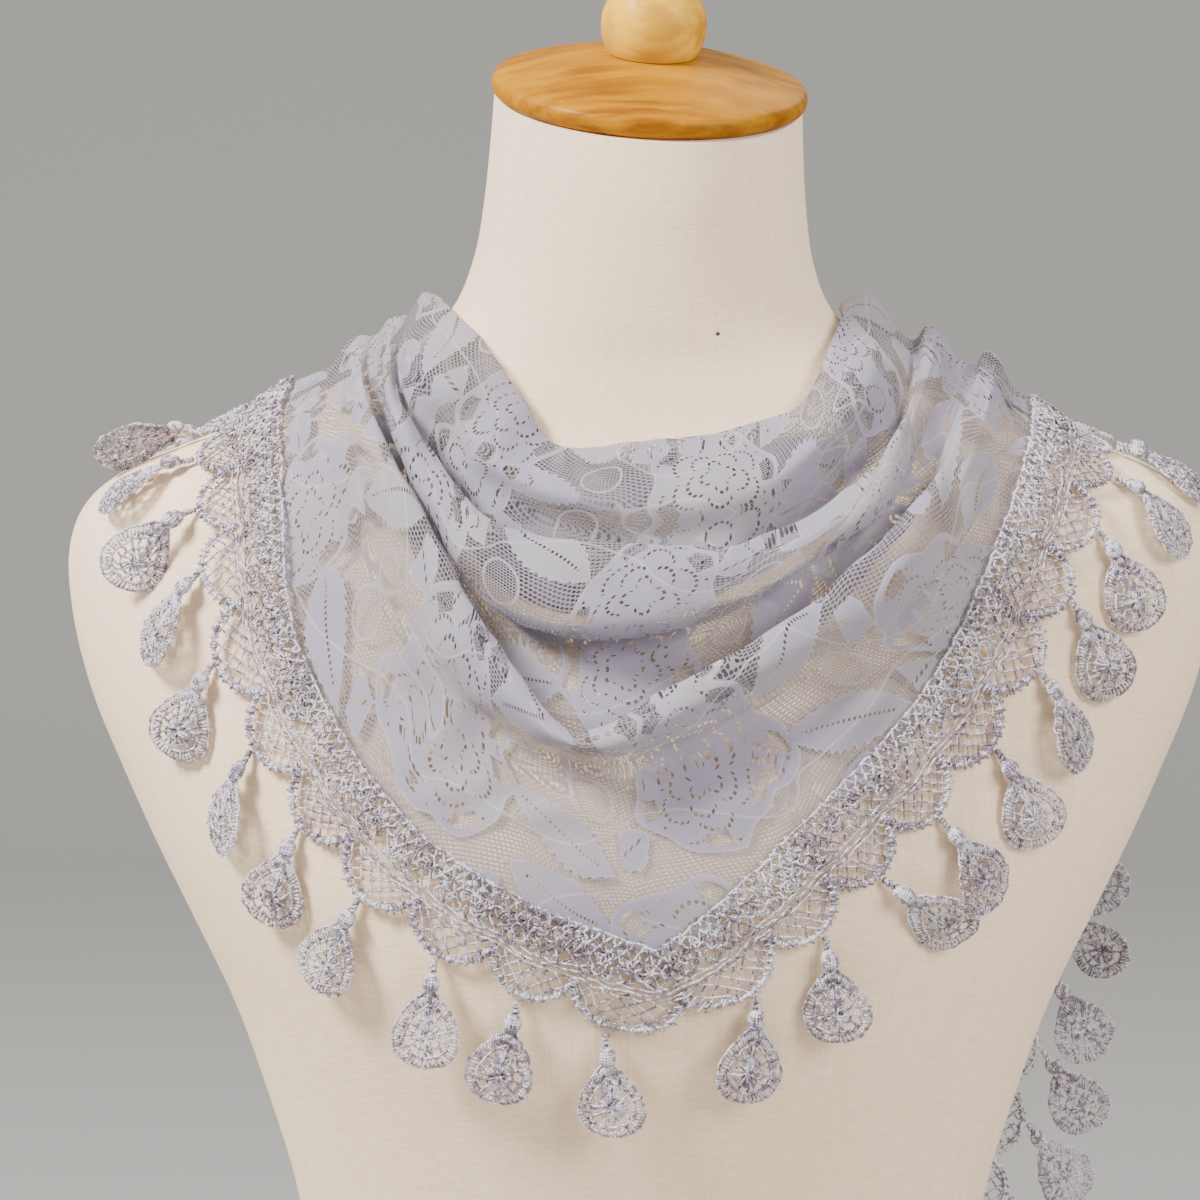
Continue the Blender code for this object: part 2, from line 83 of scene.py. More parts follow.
for name, operation in {
        "__add__": "ADD", "__sub__": "SUBTRACT", "__mul__": "MULTIPLY", "__truediv__": "DIVIDE",
        "__mod__": "FLOORED_MODULO", "__lt__": "LESS_THAN", "__gt__": "GREATER_THAN", "__abs__": "ABSOLUTE",
        "floor": "FLOOR", "sin": "SINE", "cos": "COSINE", "power": "POWER", "at_least": "MAXIMUM",
        "at_most": "MINIMUM"}.items():
    setattr(Shade, name, maths_method(operation))
for name, operation in {"__radd__": "ADD", "__rsub__": "SUBTRACT", "__rmul__": "MULTIPLY",
                        "__rtruediv__": "DIVIDE"}.items():
    setattr(Shade, name, maths_method(operation, reflected=True))


class Paint:
    """One material and its nodes. A socket's value is a number, a colour or another node's output."""

    def __init__(self, name):
        self.material = bpy.data.materials.new(name)
        self.material.use_nodes = True
        self.tree = self.material.node_tree
        self.shader = self.tree.nodes["Principled BSDF"]

    def fill(self, socket, value):
        if isinstance(value, Shade):
            self.tree.links.new(value.socket, socket)
        elif isinstance(value, tuple) and socket.type == "RGBA":
            socket.default_value = (*value, 1)
        else:
            socket.default_value = value

    def node(self, kind, settings, values, output=0):
        made = self.tree.nodes.new(kind)
        for key, setting in settings.items():
            setattr(made, key, setting)
        for key, value in values.items():
            self.fill(made.inputs[key], value)
        return Shade(self, made.outputs[output])

    def maths(self, operation, *values):
        return self.node("ShaderNodeMath", {"operation": operation}, dict(enumerate(values)))

    def mix(self, share, first, second):
        """Colour between two colours, by the colour sockets of the node."""
        return self.node("ShaderNodeMix", {"data_type": "RGBA"}, {0: share, 6: first, 7: second}, 2)

    def noise(self, vector, scale, detail=2.0, roughness=0.5):
        """Smooth noise from 0 to 1."""
        values = {"Vector": vector, "Scale": scale, "Detail": detail, "Roughness": roughness}
        return self.node("ShaderNodeTexNoise", {}, values)

    def step(self, value, low, high):
        """Soft step from 0 at low to 1 at high."""
        values = {"Value": value, "From Min": low, "From Max": high}
        return self.node("ShaderNodeMapRange", {"interpolation_type": "SMOOTHSTEP"}, values)

    def bump(self, height, distance, strength):
        values = {"Height": height, "Distance": distance, "Strength": strength}
        return self.node("ShaderNodeBump", {}, values)

    def split(self, vector):
        """The three numbers of a vector."""
        made = self.tree.nodes.new("ShaderNodeSeparateXYZ")
        self.fill(made.inputs[0], vector)
        return [Shade(self, output) for output in made.outputs]

    def join(self, x, y, z):
        return self.node("ShaderNodeCombineXYZ", {}, {"X": x, "Y": y, "Z": z})

    def coordinates(self, kind):
        return self.node("ShaderNodeTexCoord", {}, {}, kind)

    def finish(self, **sockets):
        """Set the shader's sockets, with underscores for the spaces in their names."""
        for name, value in sockets.items():
            self.fill(self.shader.inputs[name.replace("_", " ")], value)
        return self.material


# Paper sweep and lights. Plain grey paper that curves up behind the form, further away than a camera that
# looks from behind. A soft light high on the left, and weaker ones on the right and behind
PAPER_GREY = (0.415, 0.407, 0.386)
SWEEP_WIDE = 18
SWEEP_FRONT = -9
SWEEP_BACK = 2.3
SWEEP_ROUND = 1.2
SWEEP_TOP = 5
SWEEP_STEPS = 16
Lamp = namedtuple("Lamp", "name place size power")
LAMPS = [
    Lamp("key light", (-1.4, -0.8, 1.95), 0.6, 114),
    Lamp("fill light", (1.5, -1.4, 1.4), 1.0, 44),
    Lamp("back light", (0.9, 1.2, 1.9), 1.2, 12),
]
DAYLIGHT = 0.56
DAY_WHITE = (1, 0.99, 0.97, 1)


def paper_sweep():
    """Floor that rolls up into a wall behind the form."""
    turns = [math.pi / 2 * k / SWEEP_STEPS for k in range(SWEEP_STEPS + 1)]
    line = [(SWEEP_FRONT, 0)]
    line += [(SWEEP_BACK + SWEEP_ROUND * math.sin(t), SWEEP_ROUND * (1 - math.cos(t))) for t in turns]
    line += [(SWEEP_BACK + SWEEP_ROUND, SWEEP_TOP)]
    mesh = bpy.data.meshes.new("paper_sweep")
    places = [(x * SWEEP_WIDE, y, z) for y, z in line for x in (-0.5, 0.5)]
    faces = [(2 * k, 2 * k + 1, 2 * k + 3, 2 * k + 2) for k in range(len(line) - 1)]
    mesh.from_pydata(places, [], faces)
    mesh.shade_smooth()
    sweep = bpy.data.objects.new("paper_sweep", mesh)
    bpy.context.collection.objects.link(sweep)
    paint = Paint("grey paper")
    mesh.materials.append(paint.finish(Base_Color=PAPER_GREY, Roughness=0.95))


paper_sweep()
for lamp in LAMPS:
    light = bpy.data.lights.new(lamp.name, "AREA")
    light.size = lamp.size
    light.energy = lamp.power
    aimed(light, lamp.place)
world = bpy.data.worlds.new("daylight")
world.use_nodes = True
sky = world.node_tree.nodes["Background"].inputs
sky["Color"].default_value = DAY_WHITE
sky["Strength"].default_value = DAYLIGHT
bpy.context.scene.world = world


# Dress form. A hollow moulded torso and neck under one layer of cream knit jersey, pulled smooth and
# closed under the neck cap. Sections in millimetres: half width at each height, reach forwards and
# backwards of the axis, sideways set of the centre, and how far it follows the tilt of the neck cap
MM = 0.001
Section = namedtuple("Section", "height half_width front back aside tilt")
FORM_SECTIONS = [Section(*row) for row in (
    (0, 152, 96, 104, 0, 0), (75, 149, 96, 104, 0, 0), (150, 134, 90, 96, 0, 0), (215, 118, 86, 84, 0, 0),
    (265, 112, 86, 78, 0, 0), (314, 118, 94, 78, 0, 0), (350, 128, 104, 82, 0, 0),
    (385, 140, 115, 87, 0, 0), (415, 154, 121, 91, 0, 0), (440, 166, 121, 94, 0, 0),
    (465, 177, 115, 96, 0, 0), (490, 187, 106, 96, 0, 0), (515, 193, 96, 94, 0, 0),
    (538, 194, 85, 88, 0, 0), (553, 188, 77, 81, 0, 0), (564, 174, 70, 74, 0, 0), (574, 150, 65, 68, 0, 0),
    (584, 125, 61, 62, 0, 0), (594, 101, 59, 57, 0, 0), (605, 79, 58, 53, 0, 0), (618, 64, 59, 49, 0, 0.1),
    (635, 57, 60, 45, 0.5, 0.35), (654, 54, 61, 43, 1, 0.7), (672, 52.5, 62, 42, 1.5, 1),
    (690, 51.5, 62, 42, 2, 1)
)]
FORM_ROUND = 2.15
CAP_PITCH = math.radians(13.5)
CAP_ROLL = math.radians(3.5)
FORM_AROUND = 160
FORM_STEPS = 6
WALE = 1.15
COURSE = 0.85
SPECK = (24, 613)
SPECK_RADIUS = 0.65
SPECK_SOFT = 0.25
RIBS_AT = 150


def spline(points, places, corners=None):
    """Smooth curve through points, read at places. Place 2.5 is halfway from the third to the fourth."""
    points = np.asarray(points, dtype=float)
    corners = corners or {}
    last = len(points) - 1
    gaps = np.sqrt(np.linalg.norm(np.diff(points, axis=0), axis=1)) + 1e-6
    slopes = np.diff(points, axis=0) / gaps[:, None]
    curve = []
    for place in places:
        i = min(int(place), last - 1)
        t = place - i
        into = out = slopes[i]
        if i > 0:
            into = (slopes[i - 1] * gaps[i] + slopes[i] * gaps[i - 1]) / (gaps[i - 1] + gaps[i])
        if i < last - 1:
            out = (slopes[i] * gaps[i + 1] + slopes[i + 1] * gaps[i]) / (gaps[i] + gaps[i + 1])
        into = into + (slopes[i] - into) * corners.get(i, 0.0)
        out = out + (slopes[i] - out) * corners.get(i + 1, 0.0)
        t2, t3 = t * t, t * t * t
        curve.append((2 * t3 - 3 * t2 + 1) * points[i] + (t3 - 2 * t2 + t) * gaps[i] * into
                     + (3 * t2 - 2 * t3) * points[i + 1] + (t3 - t2) * gaps[i] * out)
    return np.array(curve)


def form_ring(section, count):
    """One level of the dress form, as points in metres around it."""
    ring = []
    for k in range(count):
        turn = 2 * math.pi * k / count
        side, depth = math.cos(turn), math.sin(turn)
        reach = section.back if depth > 0 else section.front
        x = section.half_width * math.copysign(abs(side) ** (2 / FORM_ROUND), side)
        y = reach * math.copysign(abs(depth) ** (2 / FORM_ROUND), depth)
        z = section.height + section.tilt * (math.tan(CAP_PITCH) * y - math.tan(CAP_ROLL) * x)
        ring.append(Vector((x + section.aside, y, z)) * MM)
    return ring


def loft(rings):
    """Solid through rings of points, the first and last of which are closed flat or are one point."""
    shape = bmesh.new()
    rings = [[shape.verts.new(point) for point in ring] for ring in rings]
    count = max(map(len, rings))
    if len(rings[0]) == count:
        shape.faces.new(rings[0][::-1])
    for low, high in zip(rings, rings[1:]):
        for k in range(count):
            turns = ((low, k), (low, k + 1), (high, k + 1), (high, k))
            shape.faces.new(list(dict.fromkeys(ring[turn % count % len(ring)] for ring, turn in turns)))
    if len(rings[-1]) == count:
        shape.faces.new(rings[-1])
    return shape


def form_mesh(count, steps):
    """The torso and neck, lofted through the sections, with flat ends."""
    table = np.array(FORM_SECTIONS, dtype=float)
    places = np.linspace(0, len(table) - 1, (len(table) - 1) * steps + 1)
    shape = loft([form_ring(Section(*row), count) for row in spline(table, places)])
    bmesh.ops.recalc_face_normals(shape, faces=shape.faces)
    return shape


def add_piece(mesh, name, material, node, sharp=40):
    """Link a mesh as one smooth-shaded piece that stands for a CAD node."""
    mesh.materials.append(material)
    mesh.shade_smooth()
    mesh.set_sharp_from_angle(angle=math.radians(sharp))
    piece = bpy.data.objects.new(name, mesh)
    bpy.context.collection.objects.link(piece)
    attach(piece, "root")
    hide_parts(node)
    return piece


def jersey_paint():
    """Cream cotton knit. Fine upright ribs, thick and thin places in the yarn, and a dark speck."""
    paint = Paint("cream jersey")
    x, y, z = paint.split(paint.coordinates("Object"))
    turn = paint.maths("ARCTAN2", x, y)
    rib = (turn * (RIBS_AT / WALE) * 2).sin()
    course = (z * (2 * math.pi / (COURSE * MM))).sin()
    slub = paint.noise(paint.join(turn * 18, 0, z * 900), 1.0, 1.0)
    upright = paint.noise(paint.join(turn * 260, 0, z * 14), 1.0, 0.0)
    height = rib * 0.1 + course * 0.1 + slub * 0.8 + upright * 0.3
    patch = (x * 31 + z * 9).sin() * (z * 23 - x * 8).sin()
    tone = 0.6 * slub + 0.4 * upright + 0.04 * patch
    cream = paint.mix(paint.step(tone, 0.3, 0.7), (0.9, 0.66, 0.44), (0.98, 0.77, 0.555))
    aside, above = x - SPECK[0] * MM, z - SPECK[1] * MM
    edges = [((SPECK_RADIUS + soft) * MM) ** 2 for soft in (SPECK_SOFT, -SPECK_SOFT)]
    speck = paint.step(aside * aside + above * above, *edges) * (y < 0)
    cream = paint.mix(speck, cream, (0.04, 0.03, 0.03))
    return paint.finish(Base_Color=cream, Roughness=0.92, Normal=paint.bump(height, 0.0002, 0.5))


mesh = bpy.data.meshes.new("form_jersey")
shape = form_mesh(FORM_AROUND, FORM_STEPS)
FORM = BVHTree.FromBMesh(shape)
shape.to_mesh(mesh)
shape.free()
form = add_piece(mesh, "form_jersey", jersey_paint(), "form_torso")


# Neck cap and knob. Turned from light hardwood, lacquered honey brown, the knob glued into the cap on a
# short neck. Radius and height in millimetres up the neck's own axis
UP = Vector((0, 0, 1))
SEAM = 0.3
CAP_PROFILE = [(0, 0), (50.2, 0), (52.2, 1.6), (52.7, 4), (52, 6.4), (49.5, 7.8), (38, 11.2), (27, 14.2),
               (17.5, 16), (0, 16)]
KNOB_RADIUS = 17.6
KNOB_WAIST = 9.5
TURNED = 96
FINE_STEPS = 6


def knob_profile(steps):
    """Ball cut flat below its middle."""
    low = -math.asin(KNOB_WAIST / KNOB_RADIUS)
    arc = [low + (math.pi / 2 - low) * k / steps for k in range(steps + 1)]
    ball = [(KNOB_RADIUS * math.cos(a), KNOB_WAIST + KNOB_RADIUS * math.sin(a)) for a in arc[:-1]]
    return [(0, 0)] + ball + [(0, KNOB_WAIST + KNOB_RADIUS)]


def rounded(profile):
    """The profile with a smooth curve through its middle points."""
    middle = profile[1:-1]
    places = np.linspace(0, len(middle) - 1, (len(middle) - 1) * FINE_STEPS + 1)
    return [profile[0]] + [tuple(point) for point in spline(middle, places)] + [profile[-1]]


def turned_mesh(name, profile, base):
    """Solid turned about the neck's axis, standing base above the neck's cut top."""
    turns = [2 * math.pi * k / TURNED for k in range(TURNED)]
    shape = loft([[(radius * math.cos(turn) * MM, radius * math.sin(turn) * MM, (height + base) * MM)
                   for turn in (turns if radius else turns[:1])] for radius, height in profile])
    top = FORM_SECTIONS[-1]
    middle = (top.front - top.back) / -2
    centre = Vector((top.aside, middle, top.height + math.tan(CAP_PITCH) * middle)) * MM
    lean = Vector((math.tan(CAP_ROLL), -math.tan(CAP_PITCH), 1))
    turn = UP.rotation_difference(lean).to_matrix().to_4x4()
    bmesh.ops.transform(shape, matrix=Matrix.Translation(centre) @ turn, verts=shape.verts)
    bmesh.ops.recalc_face_normals(shape, faces=shape.faces)
    mesh = bpy.data.meshes.new(name)
    shape.to_mesh(mesh)
    shape.free()
    return mesh


def wood_paint(name, dark, honey, pale):
    """Flat-sawn grain under lacquer, with pores and a few darker streaks."""
    paint = Paint(name)
    place = paint.coordinates("Object")
    x, y, z = paint.split(place)
    drift = paint.noise(place, 14.0, 3.0)
    ring = paint.join(x * 6, y * 60 + drift * 1.6, z * 60)
    grain = paint.noise(ring, 2.4, 5.0, 0.62)
    line = paint.noise(paint.join(x * 12, y * 300, z * 300 + drift * 8), 1.0, 2.0)
    cloud = paint.noise(place, 22.0, 2.0)
    streak = paint.step(grain, 0.36, 0.66)
    colour = paint.mix(streak, dark, honey)
    colour = paint.mix(paint.step(line, 0.55, 0.75) * 0.4, colour, dark)
    colour = paint.mix(paint.step(cloud, 0.45, 0.7) * 0.5, colour, pale)
    return paint.finish(Base_Color=colour, Roughness=0.46 + 0.12 * grain, Coat_Weight=0.07,
                        Coat_Roughness=0.14, Specular_IOR_Level=0.1,
                        Normal=paint.bump(line, 0.00012, 0.35))


CAP_WOOD = wood_paint("cap wood", (0.22, 0.065, 0.001), (0.45, 0.18, 0.001), (0.55, 0.255, 0.004))
KNOB_WOOD = wood_paint("knob wood", (0.4, 0.16, 0.01), (0.8, 0.4, 0.03), (0.88, 0.5, 0.045))
cap = add_piece(turned_mesh("cap_turned", rounded(CAP_PROFILE), SEAM), "cap_turned", CAP_WOOD,
                "form_cap")
knob_base = 2 * SEAM + CAP_PROFILE[-1][1]
knob = add_piece(turned_mesh("knob_turned", knob_profile(5 * FINE_STEPS), knob_base), "knob_turned",
                 KNOB_WOOD, "form_knob")


# Lace. One triangle of raschel lace, worn with its long edge around the neck and folded over itself in
# three pockets across the chest, its two ends thrown back over the shoulders. First how it lies
BACKWARDS = Vector((0, 1, 0))
FAR = 1.0
SLANT = 0.5


def stand_off(x, z, ray, lift):
    """Point lift off the form where a ray meets it, less far back along the ray on steep slopes."""
    hit, normal, _, _ = FORM.ray_cast(Vector((x * MM, 0, z * MM)) - ray * FAR, ray)
    return hit - ray * (lift * MM / max(abs(normal.dot(ray)), SLANT))


def ridge_point(x, lift):
    """Point lift above the crest of the shoulder."""
    return stand_off(x, 0, -UP, lift)


def beside_form(point):
    """The nearest place on the form, the normal there, and how far outside it the point is."""
    near, normal, _, gap = FORM.find_nearest(point)
    return near, normal, gap if (point - near).dot(normal) > 0 else -gap


def hold_off(point, clearance):
    """Move a point outwards until it is clear of the form."""
    near, normal, height = beside_form(point)
    return near + normal * clearance * MM if height < clearance * MM else point


# Each fold line is x and z of seven places in front in millimetres, from high on the left, through its
# lowest point, to high on the right. The corner says how sharp it turns there, up to 1
CLEAR = 1.1
KEEP = 0.7
Fold = namedtuple("Fold", "high_left mid_left low_left low low_right mid_right high_right corner")
FOLDS = {name: Fold(*row) for name, row in {
    "neckline": ((-52, 609), (-39, 592), (-29, 578), (-1, 579), (31, 583), (52, 591), (60, 606), 0),
    "collar": ((-76, 596), (-67, 583), (-51, 566), (-14, 550), (31, 553), (59, 572), (78, 589), 0),
    "middle crest": ((-80, 593), (-69, 577), (-47, 555), (-10, 550), (38, 550), (64, 562), (81, 580), 0),
    "middle low": ((-84.5, 592), (-73, 567), (-47, 528), (-14, 520), (18, 525), (49, 539), (76, 560), 0),
    "lower crest": ((-89, 590), (-74, 562), (-46, 518), (-22, 492), (10, 507), (50, 529), (88, 560), 0.3),
    "lower low": ((-95, 584), (-80, 545), (-54, 503), (-17, 484), (18, 494), (59, 515), (96, 543), 0.2),
    "seam": ((-120, 559), (-113, 513), (-70, 454), (4, 420), (53, 461), (93, 502), (117, 546), 0.7),
}.items()}

# The profile down the cloth. Each row lies between two fold lines, share of the way from the first to the
# second. A pocket's bottom and side also tuck some way down behind the crest that they rise to, less so
# towards the shoulders. Left and right are a row's x on the shoulders' crests, and lift is how far it
# stands off the form at left, low and right
Row = namedtuple("Row", "first second share tuck left right lift")
ROWS = [Row(*row) for row in (
    ("neckline", "collar", 1.35, 0, -66, 66, (2, 1.4, 2)),
    ("neckline", "collar", 0.45, 0, -66.4, 66.4, (2.4, 2.6, 2.4)),
    ("neckline", "neckline", 0, 0, -67.4, 67.4, (4.6, 4.6, 4.6)),
    ("neckline", "collar", 0.3, 0, -71, 72.5, (9.5, 11, 10.5)),
    ("neckline", "collar", 0.64, 0, -74, 78, (12, 15, 13.5)),
    ("collar", "collar", 0, 0, -76, 84, (11, 8.5, 11)),
    ("middle crest", "middle low", 0, 0.8, -79.3, 90, (9.6, 1.8, 8)),
    ("middle crest", "middle low", 0, 0.35, -82, 92.5, (10.8, 8.5, 9)),
    ("middle crest", "middle crest", 0, 0, -84, 95.5, (11.6, 19.5, 14)),
    ("middle crest", "middle low", 0.35, 0, -85.5, 98.5, (11.8, 23, 15)),
    ("middle crest", "middle low", 0.78, 0, -86.8, 102, (11.4, 21, 13.5)),
    ("middle low", "middle low", 0, 0, -87.8, 104.5, (10.4, 14, 11)),
    ("middle low", "lower crest", -0.08, 0, -88.6, 106, (9.6, 5, 9.5)),
    ("middle low", "lower crest", 0.4, 0, -90, 108, (9.4, 1.8, 9)),
    ("lower crest", "lower low", 0, 1.1, -92, 110.5, (9.8, 2, 8.5)),
    ("lower crest", "lower low", 0, 0.45, -93.5, 113, (10.8, 9, 10)),
    ("lower crest", "lower crest", 0, 0, -96, 116, (11.6, 20, 15)),
    ("lower crest", "lower low", 0.5, 0, -99, 120, (11.6, 22, 15)),
    ("lower low", "lower low", 0, 0, -102, 123.5, (9, 14, 9.5)),
    ("lower low", "seam", 0.09, 0, -105.5, 126, (6, 3, 6.5)),
    ("lower low", "seam", 0.38, 0, -110.5, 128.5, (6, 1.5, 6)),
    ("lower low", "seam", 0.7, 0, -116, 131, (6, 1.4, 5.5)),
    ("seam", "seam", 0, 0, -121, 134, (6, 1.6, 5)),
)]
LAST = len(FOLDS["seam"])
HALF = LAST / 2
UNTUCK = 2
LIFT_POWER = 1.3


def lift_along(lift, place):
    """Lift at a place between the left shoulder, the low point and the right shoulder."""
    left, low, right = lift
    side = (right if place > HALF else left) - low
    return low + side * (abs(place - HALF) / HALF) ** LIFT_POWER


def row_stations(row):
    """The places of one profile row, laid on the form from crest to crest."""
    stations = [ridge_point(row.left, row.lift[0])]
    for place in range(1, LAST):
        a, b = FOLDS[row.first][place - 1], FOLDS[row.second][place - 1]
        reach = abs(place - HALF) / HALF
        share = row.share + row.tuck * max(1 - UNTUCK * reach ** 2, 0)
        x = a[0] + (b[0] - a[0]) * share
        z = a[1] + (b[1] - a[1]) * share
        stations.append(stand_off(x, z, BACKWARDS, lift_along(row.lift, place)))
    return stations + [ridge_point(row.right, row.lift[2])]


def drape_grid(across, along):
    """Middle surface of the front stretch, as rows of points from the neckline to the seam."""
    places = np.linspace(0, LAST, LAST * across + 1)
    lines = []
    for row in ROWS:
        first, second = FOLDS[row.first], FOLDS[row.second]
        corner = first.corner + (second.corner - first.corner) * row.share
        lines.append(spline(row_stations(row), places, {LAST // 2: corner}))
    lines = np.array(lines)
    down = np.linspace(0, len(ROWS) - 1, (len(ROWS) - 1) * along + 1)
    grid = np.stack([spline(lines[:, j], down) for j in range(len(places))], axis=1)
    clear = [[max(CLEAR, KEEP * lift_along(row.lift, place)) for place in places] for row in ROWS]
    clear = np.stack([np.interp(down, range(len(ROWS)), line) for line in np.array(clear).T], axis=1)
    return crease([[hold_off(Vector(point), least) for point, least in zip(line, room)]
                   for line, room in zip(grid, clear)])


# Small creases in the folds, from one x and z to another in front, with their height and width. A groove's
# height is below zero. The whole cloth is slightly rumpled besides
Crease = namedtuple("Crease", "start end height width")
CREASES = [Crease(*row) for row in (
    ((-80, 585), (-62, 540), 2.4, 4), ((-88, 560), (-58, 500), 2.2, 5), ((-101, 560), (-72, 498), 2.2, 6),
    ((-111, 548), (-90, 500), -1.1, 5), ((-52, 462), (-18, 468), 1.7, 4), ((-74, 470), (-50, 474), 1.5, 4),
    ((-30, 455), (2, 436), 1.2, 5), ((10, 470), (44, 480), -1.3, 5), ((56, 478), (84, 512), 2.2, 6),
    ((70, 494), (104, 536), 1.6, 5), ((36, 456), (66, 486), 1.2, 5), ((62, 592), (70, 562), 1.8, 4),
    ((74, 584), (64, 552), -1.5, 4), ((86, 578), (62, 536), 2.6, 4), ((94, 566), (70, 520), 2.3, 5),
    ((106, 556), (82, 518), 2, 5), ((34, 547), (72, 573), -4.5, 4.5), ((-44, 545), (-14, 534), -1.2, 4),
    ((10, 541), (46, 546), 1.3, 4), ((-34, 506), (-8, 486), 1.4, 4), ((8, 492), (50, 512), -1.2, 4),
    ((-36, 576), (-20, 562), 1.0, 4), ((20, 572), (46, 580), 1.1, 4)
)]
RUMPLE = 0.35
RUMPLE_SIZE = 11
RUMPLE_WAVES = ((0.4, 1), (1.9, 0.7), (2.8, 1.3))
FADE_POINTS = 12


def crease(grid):
    """The front stretch with its creases and slight rumples raised along its normals."""
    places = np.array([[tuple(point) for point in line] for line in grid]) / MM
    normals = np.cross(np.gradient(places, axis=1), np.gradient(places, axis=0))
    normals /= np.linalg.norm(normals, axis=2)[..., None] + 1e-9
    normals *= np.where(normals[..., 1:2] > 0, -1, 1)
    flat = places[..., [0, 2]]
    height = np.zeros(flat.shape[:2])
    for mark in CREASES:
        start, end = np.array(mark.start), np.array(mark.end)
        way = end - start
        share = np.clip((flat - start) @ way / (way @ way), 0, 1)
        away = np.linalg.norm(flat - start - share[..., None] * way, axis=2) / mark.width
        height += mark.height * np.exp(-away ** 2) * np.sin(np.pi * (0.15 + 0.7 * share))
    for turn, size in RUMPLE_WAVES:
        spot = flat @ np.array([math.cos(turn), math.sin(turn)]) / (RUMPLE_SIZE * size)
        height += RUMPLE * np.sin(spot * 2 + np.sin(flat[..., 0] / 17) * 2)
    for axis in (0, 1):
        count = np.arange(height.shape[axis])
        fade = np.minimum(np.minimum(count, count[::-1]) / FADE_POINTS, 1)
        height *= fade if axis else fade[:, None]
    raised = places + normals * height[..., None]
    return [[hold_off(Vector(point), CLEAR) for point in line] for line in raised * MM]


# The ends hang in pleats down the back. Places of the inner and the seam edge at each level, and the
# depth of the pleats there
Level = namedtuple("Level", "inner_x inner_z outer_x outer_z pleat")
RIGHT_LEVELS = [Level(*row) for row in (
    (71, 592, 136, 564, 8), (72, 545, 133, 522, 10), (73, 490, 127, 474, 10), (75, 432, 124, 424, 9),
    (78, 374, 120, 370, 7), (82, 316, 110, 314, 4), (87, 262, 96, 261, 1)
)]
LEFT_LEVELS = [Level(*row) for row in (
    (-71, 592, -123, 567, 8), (-64, 545, -114, 524, 10), (-54, 490, -100, 475, 10), (-43, 432, -85, 425, 9),
    (-33, 374, -68, 371, 7), (-24, 316, -47, 315, 4), (-17, 268, -26, 267, 1)
)]
PLEATS = 3
PLEAT_BASE = 1.6
HANG = 0.985
SHOULDER_CLEAR = 2
SHOULDER_ROWS = 3


def back_station(x, z, lift, above):
    """Point lift behind the back, or hanging below the point above where the form falls away."""
    hit, normal, _, _ = FORM.ray_cast(Vector((x * MM, FAR, z * MM)), -BACKWARDS)
    y = hit.y + lift * MM / max(abs(normal.y), SLANT) if hit else 0
    return Vector((x * MM, max(y, above * HANG), z * MM))


def tail_grid(ridge, levels, steps):
    """Middle surface of a hanging end, from the shoulder's crest down to its tip."""
    lines = []
    start = SEAM * MM
    for k, first in enumerate(ridge):
        share = k / (len(ridge) - 1)
        wave = 0.5 - 0.5 * math.cos(2 * math.pi * PLEATS * share)
        stations = [Vector((first.x, start, first.z))]
        level = 0
        for row in levels:
            x = row.inner_x + (row.outer_x - row.inner_x) * share
            z = row.inner_z + (row.outer_z - row.inner_z) * share
            flat = back_station(x, z, PLEAT_BASE, level)
            level = flat.y
            stations.append(flat + Vector((0, row.pleat * wave * MM, 0)))
        lines.append(spline(stations, np.linspace(0, len(levels), len(levels) * steps + 1)))
    over = [CLEAR + SHOULDER_CLEAR * max(1 - k / (SHOULDER_ROWS * steps), 0)
            for k in range(len(lines[0]))]
    return [[hold_off(Vector(point), least) for point, least in zip(line, over)] for line in lines]


# The flat cut. The whole cloth is laid out flat by springs that keep its lengths, so the lace keeps its
# scale
ACROSS = 24
ALONG = 8
TAIL_STEPS = 12
TAIL_ROWS = 2
COARSE = 4
SPRING_ROUNDS = 1500
SPRING_PULL = 0.2
SLANTED_SHARE = 0.15


def run_lengths(points, axis, every):
    """Real lengths between every so many points of a grid, along one axis."""
    length = np.linalg.norm(np.diff(points, axis=axis), axis=2)
    total = np.cumsum(np.insert(length, 0, 0, axis=axis), axis=axis)
    return np.diff(np.take(total, range(0, total.shape[axis], every), axis=axis), axis=axis)


def flatten(along_rows, down_columns):
    """Lay a grid out flat, given its real lengths along the rows and down the columns."""
    rows, columns = along_rows.shape[0], down_columns.shape[1]
    middle = columns // 2
    flat = np.zeros((rows, columns, 2))
    reach = np.concatenate((np.zeros((rows, 1)), np.cumsum(along_rows, axis=1)), axis=1)
    flat[..., 0] = reach - reach[:, middle][:, None]
    fall = np.cumsum(down_columns, axis=0).mean(axis=1)
    flat[1:, :, 1] = fall[:, None]
    slanted = np.hypot(along_rows[:-1], down_columns[:, :-1])
    every, near, far = slice(None), slice(0, -1), slice(1, None)
    springs = [
        ((every, near), (every, far), along_rows, SPRING_PULL),
        ((near, every), (far, every), down_columns, SPRING_PULL),
        ((near, near), (far, far), slanted, SPRING_PULL * SLANTED_SHARE),
        ((near, far), (far, near), slanted, SPRING_PULL * SLANTED_SHARE),
    ]
    for _ in range(SPRING_ROUNDS):
        push = np.zeros_like(flat)
        for first, second, rest, hold in springs:
            gap = flat[second] - flat[first]
            length = np.linalg.norm(gap, axis=2)[..., None] + 1e-9
            pull = gap / length * (length - rest[..., None]) * hold
            push[first] += pull
            push[second] -= pull
        flat += push
    return flat


